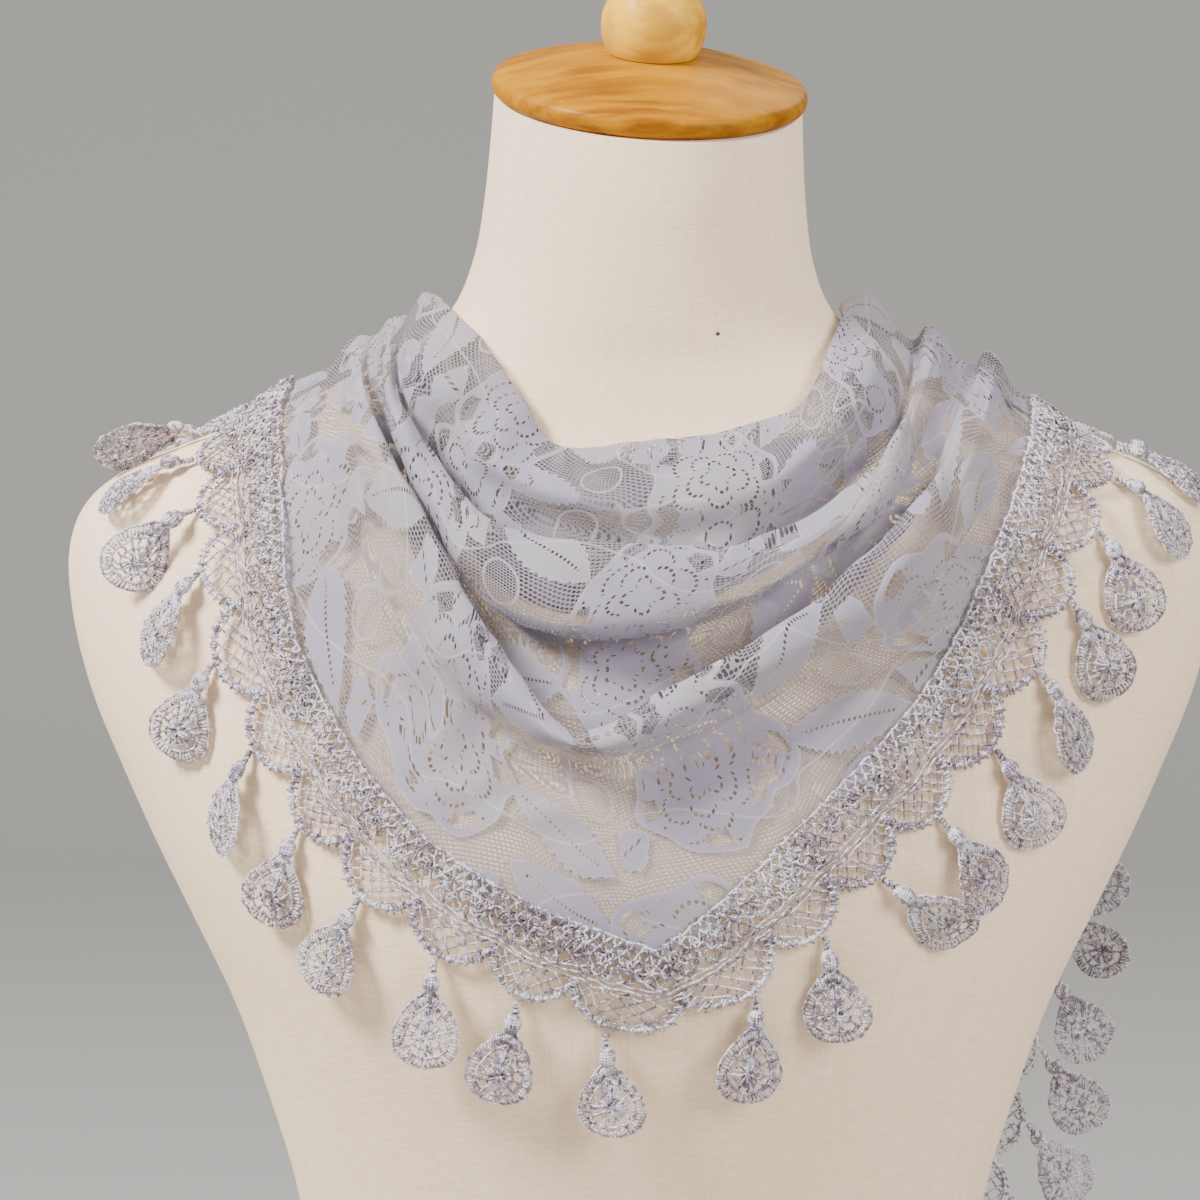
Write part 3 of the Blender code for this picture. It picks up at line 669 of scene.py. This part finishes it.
def spread(flat, every):
    """Flat places of the fine grid from those of the coarse one."""
    rows = np.linspace(0, flat.shape[0] - 1, (flat.shape[0] - 1) * every[0] + 1)
    columns = np.linspace(0, flat.shape[1] - 1, (flat.shape[1] - 1) * every[1] + 1)
    tall = np.stack([spline(flat[:, j], rows) for j in range(flat.shape[1])], axis=1)
    return np.stack([spline(tall[i], columns) for i in range(len(rows))], axis=0)


front = drape_grid(ACROSS, ALONG)
ends = {
    "left": tail_grid([line[0] for line in front[::TAIL_ROWS]], LEFT_LEVELS, TAIL_STEPS),
    "right": tail_grid([line[-1] for line in front[::TAIL_ROWS]], RIGHT_LEVELS, TAIL_STEPS),
}
ends["left"] = [line[::-1] for line in ends["left"]]
points = {name: np.array(grid) / MM for name, grid in (("front", front), *ends.items())}
order = ("left", "front", "right")
every = {name: (COARSE if name == "front" else COARSE // TAIL_ROWS, COARSE) for name in order}
along_rows = {name: run_lengths(points[name], 1, every[name][1])[::every[name][0]] for name in order}
down_columns = {name: run_lengths(points[name], 0, every[name][0])[:, ::every[name][1]] for name in order}
down_columns["left"] = down_columns["left"][:, :-1]
down_columns["right"] = down_columns["right"][:, 1:]
whole = flatten(*(np.concatenate([table[name] for name in order], axis=1)
                  for table in (along_rows, down_columns)))
first = along_rows["left"].shape[1]
second = first + along_rows["front"].shape[1]
flats = {
    "left": spread(whole[:, :first + 1], every["left"]),
    "front": spread(whole[:, first:second + 1], every["front"]),
    "right": spread(whole[:, second:], every["right"]),
}


def cloth_mesh(name, points, flat):
    """Thin sheet of cloth through a grid of points, with its flat places in metres as its UV."""
    rows, columns = points.shape[:2]
    index = np.arange(rows * columns).reshape(rows, columns)
    corners = (index[:-1, :-1], index[:-1, 1:], index[1:, 1:], index[1:, :-1])
    faces = np.stack(corners, axis=2).reshape(-1, 4)
    mesh = bpy.data.meshes.new(name)
    mesh.from_pydata((points.reshape(-1, 3) * MM).tolist(), [], faces.tolist())
    layer = mesh.uv_layers.new(name="flat")
    places = flat.reshape(-1, 2)[faces.reshape(-1)] * MM
    layer.uv.foreach_set("vector", places.astype(np.float32).ravel())
    return mesh


# The pattern of the lace, drawn in flat millimetres. Cells in a half drop, each with a rose, two sprays of
# leaves and a ring, on a hexagonal net
CELL_WIDE = 92
CELL_TALL = 56
ROSE_X = -14
ROSE_RADIUS = 24
RING_GAP = 5.2
DOTS_A_RING = 18
DOT_WIDE = 0.7
PETALS = 5
Leaf = namedtuple("Leaf", "x y turn length half_width")
LEAVES = [
    Leaf(7.5, 8, 27, 40, 9.8),
    Leaf(-35, 13, 152, 16, 7),
]
EYELET = (38, 0, 7)
STEM_AT = 13
STEM_SWING = 8
NET_WIDE = 1.75
NET_TALL = 1.3
NET_FINE = 0.7


def net_holes(paint, u, v, fine):
    """Share of open hole in a net of staggered rows, with smaller holes where it is fine."""
    size = 1 - fine * (1 - NET_FINE)
    down = v / (size * NET_TALL)
    across = (u + v * 0.45) / (size * NET_WIDE) + down.floor() * 0.5
    across = across % 1.0 - 0.5
    down = down % 1.0 - 0.5
    return paint.step(across * across * 5.6 + down * down * 8.6, 1.12, 0.68)


def rose(paint, x, y, turn):
    """Signed depth inside the rose, and its rows of pinholes along the petals."""
    angle = paint.maths("ARCTAN2", y, x) + turn
    radius = (x * x + y * y).power(0.5)
    rim = ROSE_RADIUS + (angle * PETALS).cos() * 1.5 + (angle * (PETALS + 4)).cos() * 0.7
    ring = (radius / RING_GAP + 0.5).floor()
    petal = abs(((ring * 0.5 + 1.5) * angle + ring * 2.1).sin())
    line = (ring + (petal - 0.6) * 0.8) * RING_GAP
    near = paint.step(abs(radius - line), DOT_WIDE, DOT_WIDE * 0.7)
    dots = paint.step((angle * ring * DOTS_A_RING).cos(), -0.5, 0.1)
    holes = near * dots * (petal > 0.34) * (ring > 0.5) * (radius < rim - 2)
    window = (radius > ROSE_RADIUS - 6) * (radius < rim - 2) * ((angle * PETALS).cos() > 0.55)
    return rim - radius, holes, window


def leaf(paint, x, y, shape, teeth, stitch):
    """Signed depth inside a leaf with a toothed edge, and the pinholes along its midrib."""
    turn = math.radians(shape.turn)
    along = x * math.cos(turn) + y * math.sin(turn) - shape.x * math.cos(turn) - shape.y * math.sin(turn)
    aside = y * math.cos(turn) - x * math.sin(turn) - shape.y * math.cos(turn) + shape.x * math.sin(turn)
    share = (along / shape.length).at_least(0).at_most(1)
    belly = (share * math.pi).sin() * shape.half_width
    rib = paint.step(abs(aside), DOT_WIDE, DOT_WIDE * 0.6) * (belly > 0.45 * shape.half_width)
    return belly * teeth - abs(aside), rib * stitch


def lace_paint():
    """Lilac-grey yarn, dense in the flowers and open in the net, with a soft matt face."""
    paint = Paint("lilac lace")
    u, v, _ = [part * 1000 for part in paint.split(paint.coordinates("UV"))]
    sway = (v * 0.083 + (u * 0.047).sin() * 2).sin()
    u, v = u + sway * 2.4, v + (u * 0.093 + sway).sin() * 2
    band = (v / CELL_TALL).floor()
    odd = abs(band % 2)
    shifted = u + odd * (CELL_WIDE / 2)
    column = (shifted / CELL_WIDE).floor()
    x = (shifted - (column + 0.5) * CELL_WIDE) * (1 - odd * 2)
    y = v - (band + 0.5) * CELL_TALL
    depth, holes, window = rose(paint, x - ROSE_X, y, column * 2.4 + band * 1.1)
    wave = (x * (2 * math.pi / CELL_WIDE) + 0.5).sin()
    folded = abs(y + wave * 2.5)
    teeth = ((x + folded) * 1.6).cos() * 0.08 + 1
    stitch = paint.step(((x + folded * 0.6) * 3.6).cos(), -0.2, 0.3)
    for shape in LEAVES:
        inside, rib = leaf(paint, x, folded, shape, teeth, stitch)
        depth = depth.at_least(inside)
        holes = holes.at_least(rib)
    away = ((x - EYELET[0]) * (x - EYELET[0]) + (y - EYELET[1]) * (y - EYELET[1])).power(0.5)
    stem = abs(folded - wave * STEM_SWING - STEM_AT)
    edge = abs(away - EYELET[2]).at_most(abs(depth) * 1.4).at_most(stem * 1.2)
    cord = paint.step(edge, 0.62, 0.36)
    fine = (away < EYELET[2]).at_least(window)
    dense = paint.step(depth, 0, 0.25) * (1 - window)
    cover = (1 - net_holes(paint, u, v, fine)).at_least(dense).at_least(cord) * (1 - holes)
    weave = (u * 7.2 + v * 3).sin() * (v * 8.6).sin()
    tint = paint.mix(sway * 0.5 + 0.5, (0.315, 0.285, 0.316), (0.292, 0.254, 0.332))
    colour = paint.mix(1 - dense, tint, (0.24, 0.213, 0.243))
    # The cords are painted lighter, partly for their own lighter yarn and partly as painted highlight on
    # their raised edges, as the bump carries only the weave
    colour = paint.mix(cord * 0.45, colour, (0.47, 0.45, 0.49))
    return paint.finish(Base_Color=colour, Roughness=0.8, Alpha=cover * (0.83 + 0.13 * dense),
                        Sheen_Weight=0.25, Sheen_Roughness=0.4, Normal=paint.bump(weave, 0.00004, 0.6))


LACE = lace_paint()
nodes = {"front": "drape_front", "left": "tail_left", "right": "tail_right"}
for name in order:
    mesh = cloth_mesh("lace_" + name, points[name], flats[name])
    add_piece(mesh, "lace_" + name, LACE, nodes[name], sharp=180)


# Edging. Guipure embroidered in rayon thread: a header of zigzag cords sewn over the lace's edge, a net
# band, and stitched half-round lobes that each carry a teardrop on a twisted stalk. Sizes in millimetres,
# and in degrees how each drop swings sideways and twists on its stalk. A zigzag cord has its reach, the
# side it starts to and its lift, and a strand its reach, how far it arches and its radius
BAND = 13
LOBE_PITCH = 26.5
EDGING_LIFT = 2.2
NEAR_FORM = 8
LOBE_STEPS = 5
SETTLE = 16
FLAT_ENOUGH = -0.1
FRONT_SWINGS = [-74, -62, -44, -30, -28, -22, -24, -30, -6, -14, 4, -6, 10, 56, 38, 30, 24, 24, 20, 34, 66]
FRONT_TWISTS = [50, 18, -46, 26, -16, 24, -12, 8, -6, 5, 8, -10, 22, 32, -14, 18, -22, 12, 16, -12, 8]
TAIL_SWINGS = [64, 52, 40, 30, 36, 28, 34, 30, 36, 27, 33, 36, 30, 33]
TAIL_TWISTS = [10, -16, 22, -12, 18, -25, 14, -8, 28, -14, 10, -20, 16, -8]
REACHES = np.array([-4.0, 0.0, BAND, 28.0])
OVER_LACE = {-4.0: 1.4, 0.0: 0.9}
FINE = 20
RIM_DEPTH = 13
THREAD_SIDES = 4
RIM_THREAD = 0.8
STITCH_THREAD = 0.43
FINE_THREAD = 0.4
ZIG_CORDS = [(-2.2, 1, 0.7), (0.6, -1, 1.0), (3.6, 1, 0.7)]
ZIG_REACH = 1.6
ZIG_THREAD = 0.5
ZIGS = 28
STRANDS = [(-3.5, 0.3, 0.5), (2.2, 0, 0.42), (10, 1.2, 0.42), (11.5, 1.4, 0.45), (13, 1.5, 0.42)]
ARCH_STEPS = 12
LOOPS_A_LOBE = 26
NET_LEAN = 0.32
NET_PITCH = 0.14
NET_FROM = 1.5
NET_REACH = 9.6
RIM_LOOPS = 34
LATTICE_LEANS = (38, -46)
LATTICE_REACH = 34
LATTICE_PITCH = 3.1
LATTICE_THREAD = 0.36
ROOT = 27.2
STEM = 1.6
random = np.random.default_rng(12)


def seam_length(seam):
    """Length of a seam line in millimetres."""
    return sum((b - a).length for a, b in zip(seam, seam[1:])) / MM


def lie_on_form(point, lift):
    """Settle a point on the form where it is near, and leave it hanging where it isn't."""
    near, normal, height = beside_form(point)
    if height < lift * MM:
        return near + normal * lift * MM
    loose = min(max((height / MM - lift) / NEAR_FORM, 0), 1)
    return (near + normal * lift * MM).lerp(point, loose)


class Strip:
    """The surface that the edging is drawn on, along the seam and outwards from it."""

    def __init__(self, seam, side, hanging):
        self.hanging = hanging
        self.lobes = round(seam_length(seam) / LOBE_PITCH)
        line = np.array(seam)
        length = np.concatenate(([0], np.cumsum(np.linalg.norm(np.diff(line, axis=0), axis=1))))
        even = np.linspace(0, length[-1], self.lobes * FINE + 1)
        edge = np.stack([np.interp(even, length, line[:, k]) for k in range(3)], axis=1)
        edge = [Vector(spot) for spot in edge]
        window = 2 * FINE // LOBE_STEPS
        self.rails = np.array([self.rail(edge, k, window, side) for k in range(len(edge))])
        along = np.gradient(self.rails, axis=0)
        out = np.gradient(self.rails, REACHES, axis=1)
        normals = np.cross(along, out) * side * -1
        self.normals = normals / np.linalg.norm(normals, axis=2)[..., None]

    def rail(self, edge, k, window, side):
        """Points at each reach, outwards from one point of the seam."""
        last = len(edge) - 1
        tangent = (edge[min(k + window, last)] - edge[max(k - window, 0)]).normalized()
        normal = FORM.find_nearest(edge[k])[1]
        if self.hanging:
            normal = normal.lerp(BACKWARDS, min(k * LOBE_STEPS / FINE / SETTLE, 1)).normalized()
        free = min((k if self.hanging else min(k, last - k)) / FINE, 1)
        outwards = tangent.cross(normal) * side
        outwards.y *= free
        outwards.normalize()
        line = []
        for reach in REACHES:
            spot = edge[k] + outwards * (SEAM + reach) * MM
            if reach in OVER_LACE:
                spot += normal * OVER_LACE[reach] * MM
            else:
                laid = lie_on_form(spot, EDGING_LIFT)
                laid.y = spot.y + (laid.y - spot.y) * free
                spot = laid
            line.append(spot)
        return line

    def at(self, along, out, lift):
        """Points and normals at lobes along, and millimetres outwards and off the surface."""
        along, out, lift = np.broadcast_arrays(*np.atleast_1d(along, out, lift))
        k = np.clip(along * FINE, 0, len(self.rails) - 1.001)
        i = k.astype(int)
        f = (k - i)[:, None]
        j = np.clip(np.searchsorted(REACHES, out) - 1, 0, len(REACHES) - 2)
        g = ((out - REACHES[j]) / (REACHES[j + 1] - REACHES[j]))[:, None]

        def blend(table):
            near = table[i, j] * (1 - f) + table[i + 1, j] * f
            far = table[i, j + 1] * (1 - f) + table[i + 1, j + 1] * f
            return near * (1 - g) + far * g
        normal = blend(self.normals)
        normal /= np.linalg.norm(normal, axis=1)[:, None]
        return blend(self.rails) + normal * lift[:, None] * MM, normal


class Threads:
    """Tubes of thread, joined into one mesh."""

    def __init__(self):
        self.points, self.faces, self.places, self.count = [], [], [], 0

    def add(self, surface, along, out, lift, radius, closed=False):
        """One tube over a strip or a drop, with its place along and around as UV."""
        path, normals = surface.at(along, out, lift)
        rings, sides = len(path), THREAD_SIDES
        if closed:
            tangents = np.roll(path, -1, axis=0) - np.roll(path, 1, axis=0)
        else:
            tangents = np.gradient(path, axis=0)
        across = np.cross(tangents, normals)
        across /= np.linalg.norm(across, axis=1)[:, None] + 1e-12
        upwards = np.cross(across, tangents)
        upwards /= np.linalg.norm(upwards, axis=1)[:, None] + 1e-12
        turn = 2 * np.pi * np.arange(sides) / sides
        radius = np.broadcast_to(radius, rings)[:, None, None] * MM
        ring = path[:, None] + radius * (np.cos(turn)[None, :, None] * across[:, None]
                                         + np.sin(turn)[None, :, None] * upwards[:, None])
        index = np.arange(rings * sides).reshape(rings, sides) + self.count
        low, high = (index, np.roll(index, -1, axis=0)) if closed else (index[:-1], index[1:])
        quads = np.stack((low, np.roll(low, -1, axis=1), np.roll(high, -1, axis=1), high), axis=2)
        length = np.concatenate(([0], np.cumsum(np.linalg.norm(np.diff(path, axis=0), axis=1))))
        place = np.stack((np.repeat(length, sides), np.tile(np.arange(sides) / sides, rings)), axis=1)
        self.points.append(ring.reshape(-1, 3))
        self.places.append(place)
        self.faces += quads.reshape(-1, 4).tolist()
        if not closed:
            self.faces += [index[0][::-1].tolist(), index[-1].tolist()]
        self.count += rings * sides

    def mesh(self, name):
        made = bpy.data.meshes.new(name)
        made.from_pydata(np.concatenate(self.points).tolist(), [], self.faces)
        layer = made.uv_layers.new(name="thread")
        corners = np.empty(len(made.loops), dtype=np.int32)
        made.loops.foreach_get("vertex_index", corners)
        layer.uv.foreach_set("vector", np.concatenate(self.places)[corners].astype(np.float32).ravel())
        return made


def wobble(count, size):
    """Small uneven offsets."""
    return random.normal(0, size, count)


def draw_header(threads, strip):
    """Uneven zigzag cords and loops over the edge of the lace, and strands that arch above the lobes."""
    zigs = strip.lobes * ZIGS + 1
    along = np.linspace(0, strip.lobes, zigs)
    swing = np.tile([0, 1, 0, -1], zigs // 4 + 1)[:zigs]
    for out, sign, lift in ZIG_CORDS:
        threads.add(strip, along + wobble(zigs, 0.007), out + sign * swing * ZIG_REACH + wobble(zigs, 0.4),
                    lift + wobble(zigs, 0.3), ZIG_THREAD)
    along = np.linspace(0, strip.lobes, strip.lobes * ARCH_STEPS + 1)
    arch = abs(np.sin(math.pi * along))
    for out, rise, radius in STRANDS:
        out = out + rise * arch + wobble(len(along), 0.3)
        threads.add(strip, along, out, 0.5 + wobble(len(along), 0.25), radius)
    turn = np.linspace(0, 1, 6)
    for start in random.uniform(0, strip.lobes, strip.lobes * LOOPS_A_LOBE):
        radius, bend = random.uniform(1.2, 2.4), random.uniform(2, 4.6)
        turned = random.uniform(0, 2 * math.pi) + bend * turn
        out = random.uniform(-1.5, 9) + radius * np.cos(turned)
        along = start + radius * np.sin(turned) / LOBE_PITCH
        threads.add(strip, along, out, 1 + wobble(6, 0.35), FINE_THREAD)


def draw_band(threads, strip):
    """Open net of crossing threads between the header and the lobes."""
    share = np.linspace(0, 1, 5)
    for lean in (NET_LEAN, -NET_LEAN):
        for start in np.arange(0.02, strip.lobes, NET_PITCH):
            along = start + (lean + wobble(1, 0.1)) * (share - 0.5) + wobble(1, 0.03)
            along = np.clip(along, 0, strip.lobes) + wobble(5, 0.014)
            lift = 0.4 * np.sign(lean) + wobble(5, 0.25)
            threads.add(strip, along, NET_FROM + NET_REACH * share, lift, FINE_THREAD)


def draw_lobe(threads, strip, lobe):
    """Thin crossing threads in a half-round rim worked over in buttonhole stitch."""
    turn = np.linspace(0.04, math.pi - 0.04, 22)
    middle = lobe + 0.5
    tilt = wobble(1, 0.7)[0]
    threads.add(strip, middle - np.cos(turn) / 2, BAND + RIM_DEPTH * np.sin(turn),
                0.2 + tilt * np.sin(turn), RIM_THREAD)
    for k in range(RIM_LOOPS):
        angle = 0.05 + (math.pi - 0.1) * k / (RIM_LOOPS - 1) + wobble(1, 0.014)[0]
        way = np.array([-math.cos(angle) / LOBE_PITCH, math.sin(angle)])
        reach = np.array([-1.3, 0, 1.25]) + wobble(3, 0.18)
        along = middle - math.cos(angle) / 2 + way[0] * reach + 0.03 * (k % 2 - 0.5)
        out = BAND + RIM_DEPTH * math.sin(angle) + way[1] * reach
        lift = np.array([0.1, 1.15, 0.1]) + tilt * math.sin(angle) + wobble(1, 0.12)
        threads.add(strip, along, out, lift, STITCH_THREAD)
    for lean in map(math.radians, LATTICE_LEANS):
        way = np.array([math.sin(lean), math.cos(lean)])
        for offset in np.arange(-20, 21, LATTICE_PITCH):
            reach = np.linspace(-LATTICE_REACH, LATTICE_REACH, 90)
            x = way[0] * reach + offset * way[1] + wobble(1, 0.4)[0]
            y = way[1] * reach - offset * way[0]
            inside = (y > 0.4) & ((x / (LOBE_PITCH / 2)) ** 2 + (y / RIM_DEPTH) ** 2 < 1)
            if inside.sum() < 5:
                continue
            picked = np.linspace(np.flatnonzero(inside)[0], np.flatnonzero(inside)[-1], 5).astype(int)
            lift = 0.3 * np.sign(lean) + wobble(5, 0.2) + tilt * y[picked] / RIM_DEPTH
            x = x[picked] + wobble(5, 0.3)
            threads.add(strip, middle + x / LOBE_PITCH, BAND + y[picked], lift, LATTICE_THREAD)


# Each drop's stalk, bead and teardrop, in millimetres down from the rim of its lobe. A hoop has its
# share of the way from the heart to the border, its lift and its radius
BEAD_AT = 6.8
BEAD_RADIUS = 3.0
TIP_AT = 8.4
DROP_LONG = 26.2
DROP_HALF = 13.8
HEART_AT = 24.5
DROP_END = 40
TWIST_LIFT = 6.5
PLY_THREAD = 0.62
BEAD_THREADS = 14
RIM_STITCHES = 62
RIM_STITCH = 0.44
HOOPS = [(0.99, 0.3, 0.4), (0.66, 0.7, 0.5), (0.42, 0.6, 0.45)]
SPOKES = 18
SPOKE_THREAD = 0.46
LOOSE_THREADS = 14


class Drop:
    """The path that one drop hangs along, from the rim of its lobe."""

    def __init__(self, strip, lobe, swing, twist):
        root, normal = strip.at(lobe + 0.5, ROOT, 0)
        ahead, _ = strip.at(lobe + 0.5, ROOT - 3, 0)
        root, normal = Vector(root[0]), Vector(normal[0])
        spot = root + (root - Vector(ahead[0])).normalized() * STEM * MM
        angle = math.radians(swing)
        fall = Vector((math.sin(angle), 0, -math.cos(angle)))
        self.reach = np.linspace(0, DROP_END, DROP_END + 1)
        self.points, self.across, self.normals = [], [], []
        for _ in self.reach:
            way = (fall - normal * fall.dot(normal)).normalized()
            near, near_normal, height = beside_form(spot)
            if height < (NEAR_FORM if near_normal.z > FLAT_ENOUGH else EDGING_LIFT) * MM:
                spot = near + near_normal * EDGING_LIFT * MM
                normal = near_normal
            spot.y = max(spot.y, SEAM * MM) if strip.hanging else min(spot.y, 0)
            self.points.append(spot.copy())
            self.across.append(normal.cross(way))
            self.normals.append(normal)
            spot = spot + way * MM
        self.points, self.across, self.normals = map(np.array, (self.points, self.across, self.normals))
        turned = math.radians(twist) * np.clip(self.reach / TIP_AT, 0, 1)[:, None]
        self.points += self.normals * abs(np.sin(turned)) * TWIST_LIFT * MM
        across, normals = self.across, self.normals
        self.across = across * np.cos(turned) + normals * np.sin(turned)
        self.normals = normals * np.cos(turned) - across * np.sin(turned)

    def at(self, along, aside, lift):
        """Points and normals in millimetres down the drop, across it and off it."""
        along, aside, lift = np.broadcast_arrays(*np.atleast_1d(along, aside, lift))
        picked = [np.stack([np.interp(along, self.reach, table[:, k]) for k in range(3)], axis=1)
                  for table in (self.points, self.across, self.normals)]
        return picked[0] + (picked[1] * aside[:, None] + picked[2] * lift[:, None]) * MM, picked[2]


def drop_outline(turn):
    """Teardrop in millimetres down and across, from its tip round to its tip."""
    down = TIP_AT + DROP_LONG * (1 - np.cos(turn)) / 2
    return down, DROP_HALF * np.sin(turn) * np.sin(turn / 2) ** 0.85


def draw_drop(threads, drop):
    """Twisted stalk, satin bead, and a teardrop with a thick stitched border around a loose wheel."""
    along = np.linspace(-1.5, BEAD_AT - BEAD_RADIUS + 0.8, 14)
    for start in (0, math.pi):
        coil = along * 1.9 + start
        threads.add(drop, along, 0.75 * np.cos(coil), 0.6 * np.sin(coil), PLY_THREAD)
    turn = np.linspace(0.22, math.pi - 0.22, 6)
    for start in np.linspace(0, 2 * math.pi, BEAD_THREADS, endpoint=False):
        aside = BEAD_RADIUS * 0.8 * np.sin(turn) * math.cos(start)
        lift = BEAD_RADIUS * 0.6 * np.sin(turn) * math.sin(start) + 1.0
        threads.add(drop, BEAD_AT - BEAD_RADIUS * np.cos(turn), aside, lift, PLY_THREAD)
    turns = 2 * math.pi * (np.arange(RIM_STITCHES) + 0.5) / RIM_STITCHES
    turns = turns - 0.16 * np.sin(turns)
    ends = np.stack(drop_outline(turns), axis=1)
    heart = np.array([HEART_AT, 0]) + wobble(2, 0.5)
    for k, end in enumerate(ends):
        inner = 0.66 + 0.07 * (k % 2) + wobble(1, 0.03)[0]
        reach = np.array([inner, 0.86, 0.99 + wobble(1, 0.018)[0]])[:, None]
        spots = heart + (end - heart) * reach + wobble((3, 2), 0.1)
        lift = np.array([0.5, 1.25, 0.2]) + wobble(3, 0.15)
        threads.add(drop, *spots.T, lift, RIM_STITCH)
    ring = heart + (ends[::2] - heart) * 0.68
    for share, height, radius in HOOPS:
        spots = heart + (ends[::2] - heart) * share + wobble(ring.shape, 0.2)
        lift = height + 0.6 * (np.arange(len(spots)) % 2) + wobble(len(spots), 0.15)
        threads.add(drop, *spots.T, lift, radius, closed=True)
    for end in ring[np.linspace(0, len(ring) - 1, SPOKES).astype(int)]:
        spots = heart + (end - heart) * np.array([0.08, 0.4, 0.75, 1.0])[:, None] + wobble((4, 2), 0.45)
        lift = np.array([0.9, 1.2, 1.0, 0.6]) + wobble(4, 0.25)
        threads.add(drop, *spots.T, lift, SPOKE_THREAD)
    for start in random.uniform(0, 2 * math.pi, LOOSE_THREADS):
        way = np.array([math.cos(start), math.sin(start)]) * random.uniform(2.5, 5.5)
        spots = heart + way * np.array([0.05, 0.5, 1])[:, None] + wobble((3, 2), 0.3)
        threads.add(drop, *spots.T, np.array([1.5, 1.8, 0.9]), 0.42)


def thread_paint():
    """Shiny two-ply rayon, lilac grey, with painted shade in blotches for the dark gaps between threads,
    and in the grooves of the ply's twist.
    """
    paint = Paint("lilac rayon thread")
    length, around, _ = paint.split(paint.coordinates("UV"))
    twist = ((length * (1000 / 0.9) + around) * (2 * math.pi)).sin()
    gap_shade_noise = paint.noise(paint.coordinates("Object"), 560.0, 1.0)
    cloud = paint.noise(paint.coordinates("Object"), 60.0, 0.0)
    # Painted shade: fine and broad noise darken blotches of thread to a dark purple, standing in for the
    # shadowed gaps between the threads
    painted_shade_share = paint.step(gap_shade_noise * 0.75 + cloud * 0.25, 0.4, 0.56)
    colour = paint.mix(painted_shade_share, (0.25, 0.20, 0.25), (0.74, 0.70, 0.75))
    # Painted shade in the grooves between the plies, darker where the twist is low; the same twist also
    # makes the bump
    colour = paint.mix(paint.step(twist, 0.2, -0.9) * 0.35, colour, (0.20, 0.17, 0.21))
    return paint.finish(Base_Color=colour, Roughness=0.3 + 0.12 * gap_shade_noise,
                        Normal=paint.bump(twist, 0.00015, 0.6))


THREAD = thread_paint()
for name, seam, side, swings, twists in (
        ("front", front[-1], 1, FRONT_SWINGS, FRONT_TWISTS),
        ("left", ends["left"][-1][::-1], -1, [-swing for swing in TAIL_SWINGS], TAIL_TWISTS),
        ("right", ends["right"][-1], 1, TAIL_SWINGS, TAIL_TWISTS)):
    strip = Strip(seam, side, name != "front")
    threads = Threads()
    draw_header(threads, strip)
    draw_band(threads, strip)
    for lobe, swing, twist in zip(range(strip.lobes), swings, twists):
        draw_lobe(threads, strip, lobe)
        draw_drop(threads, Drop(strip, lobe, swing, twist))
    mesh = threads.mesh("edging_threads_" + name)
    add_piece(mesh, mesh.name, THREAD, "edging_" + name, sharp=180)
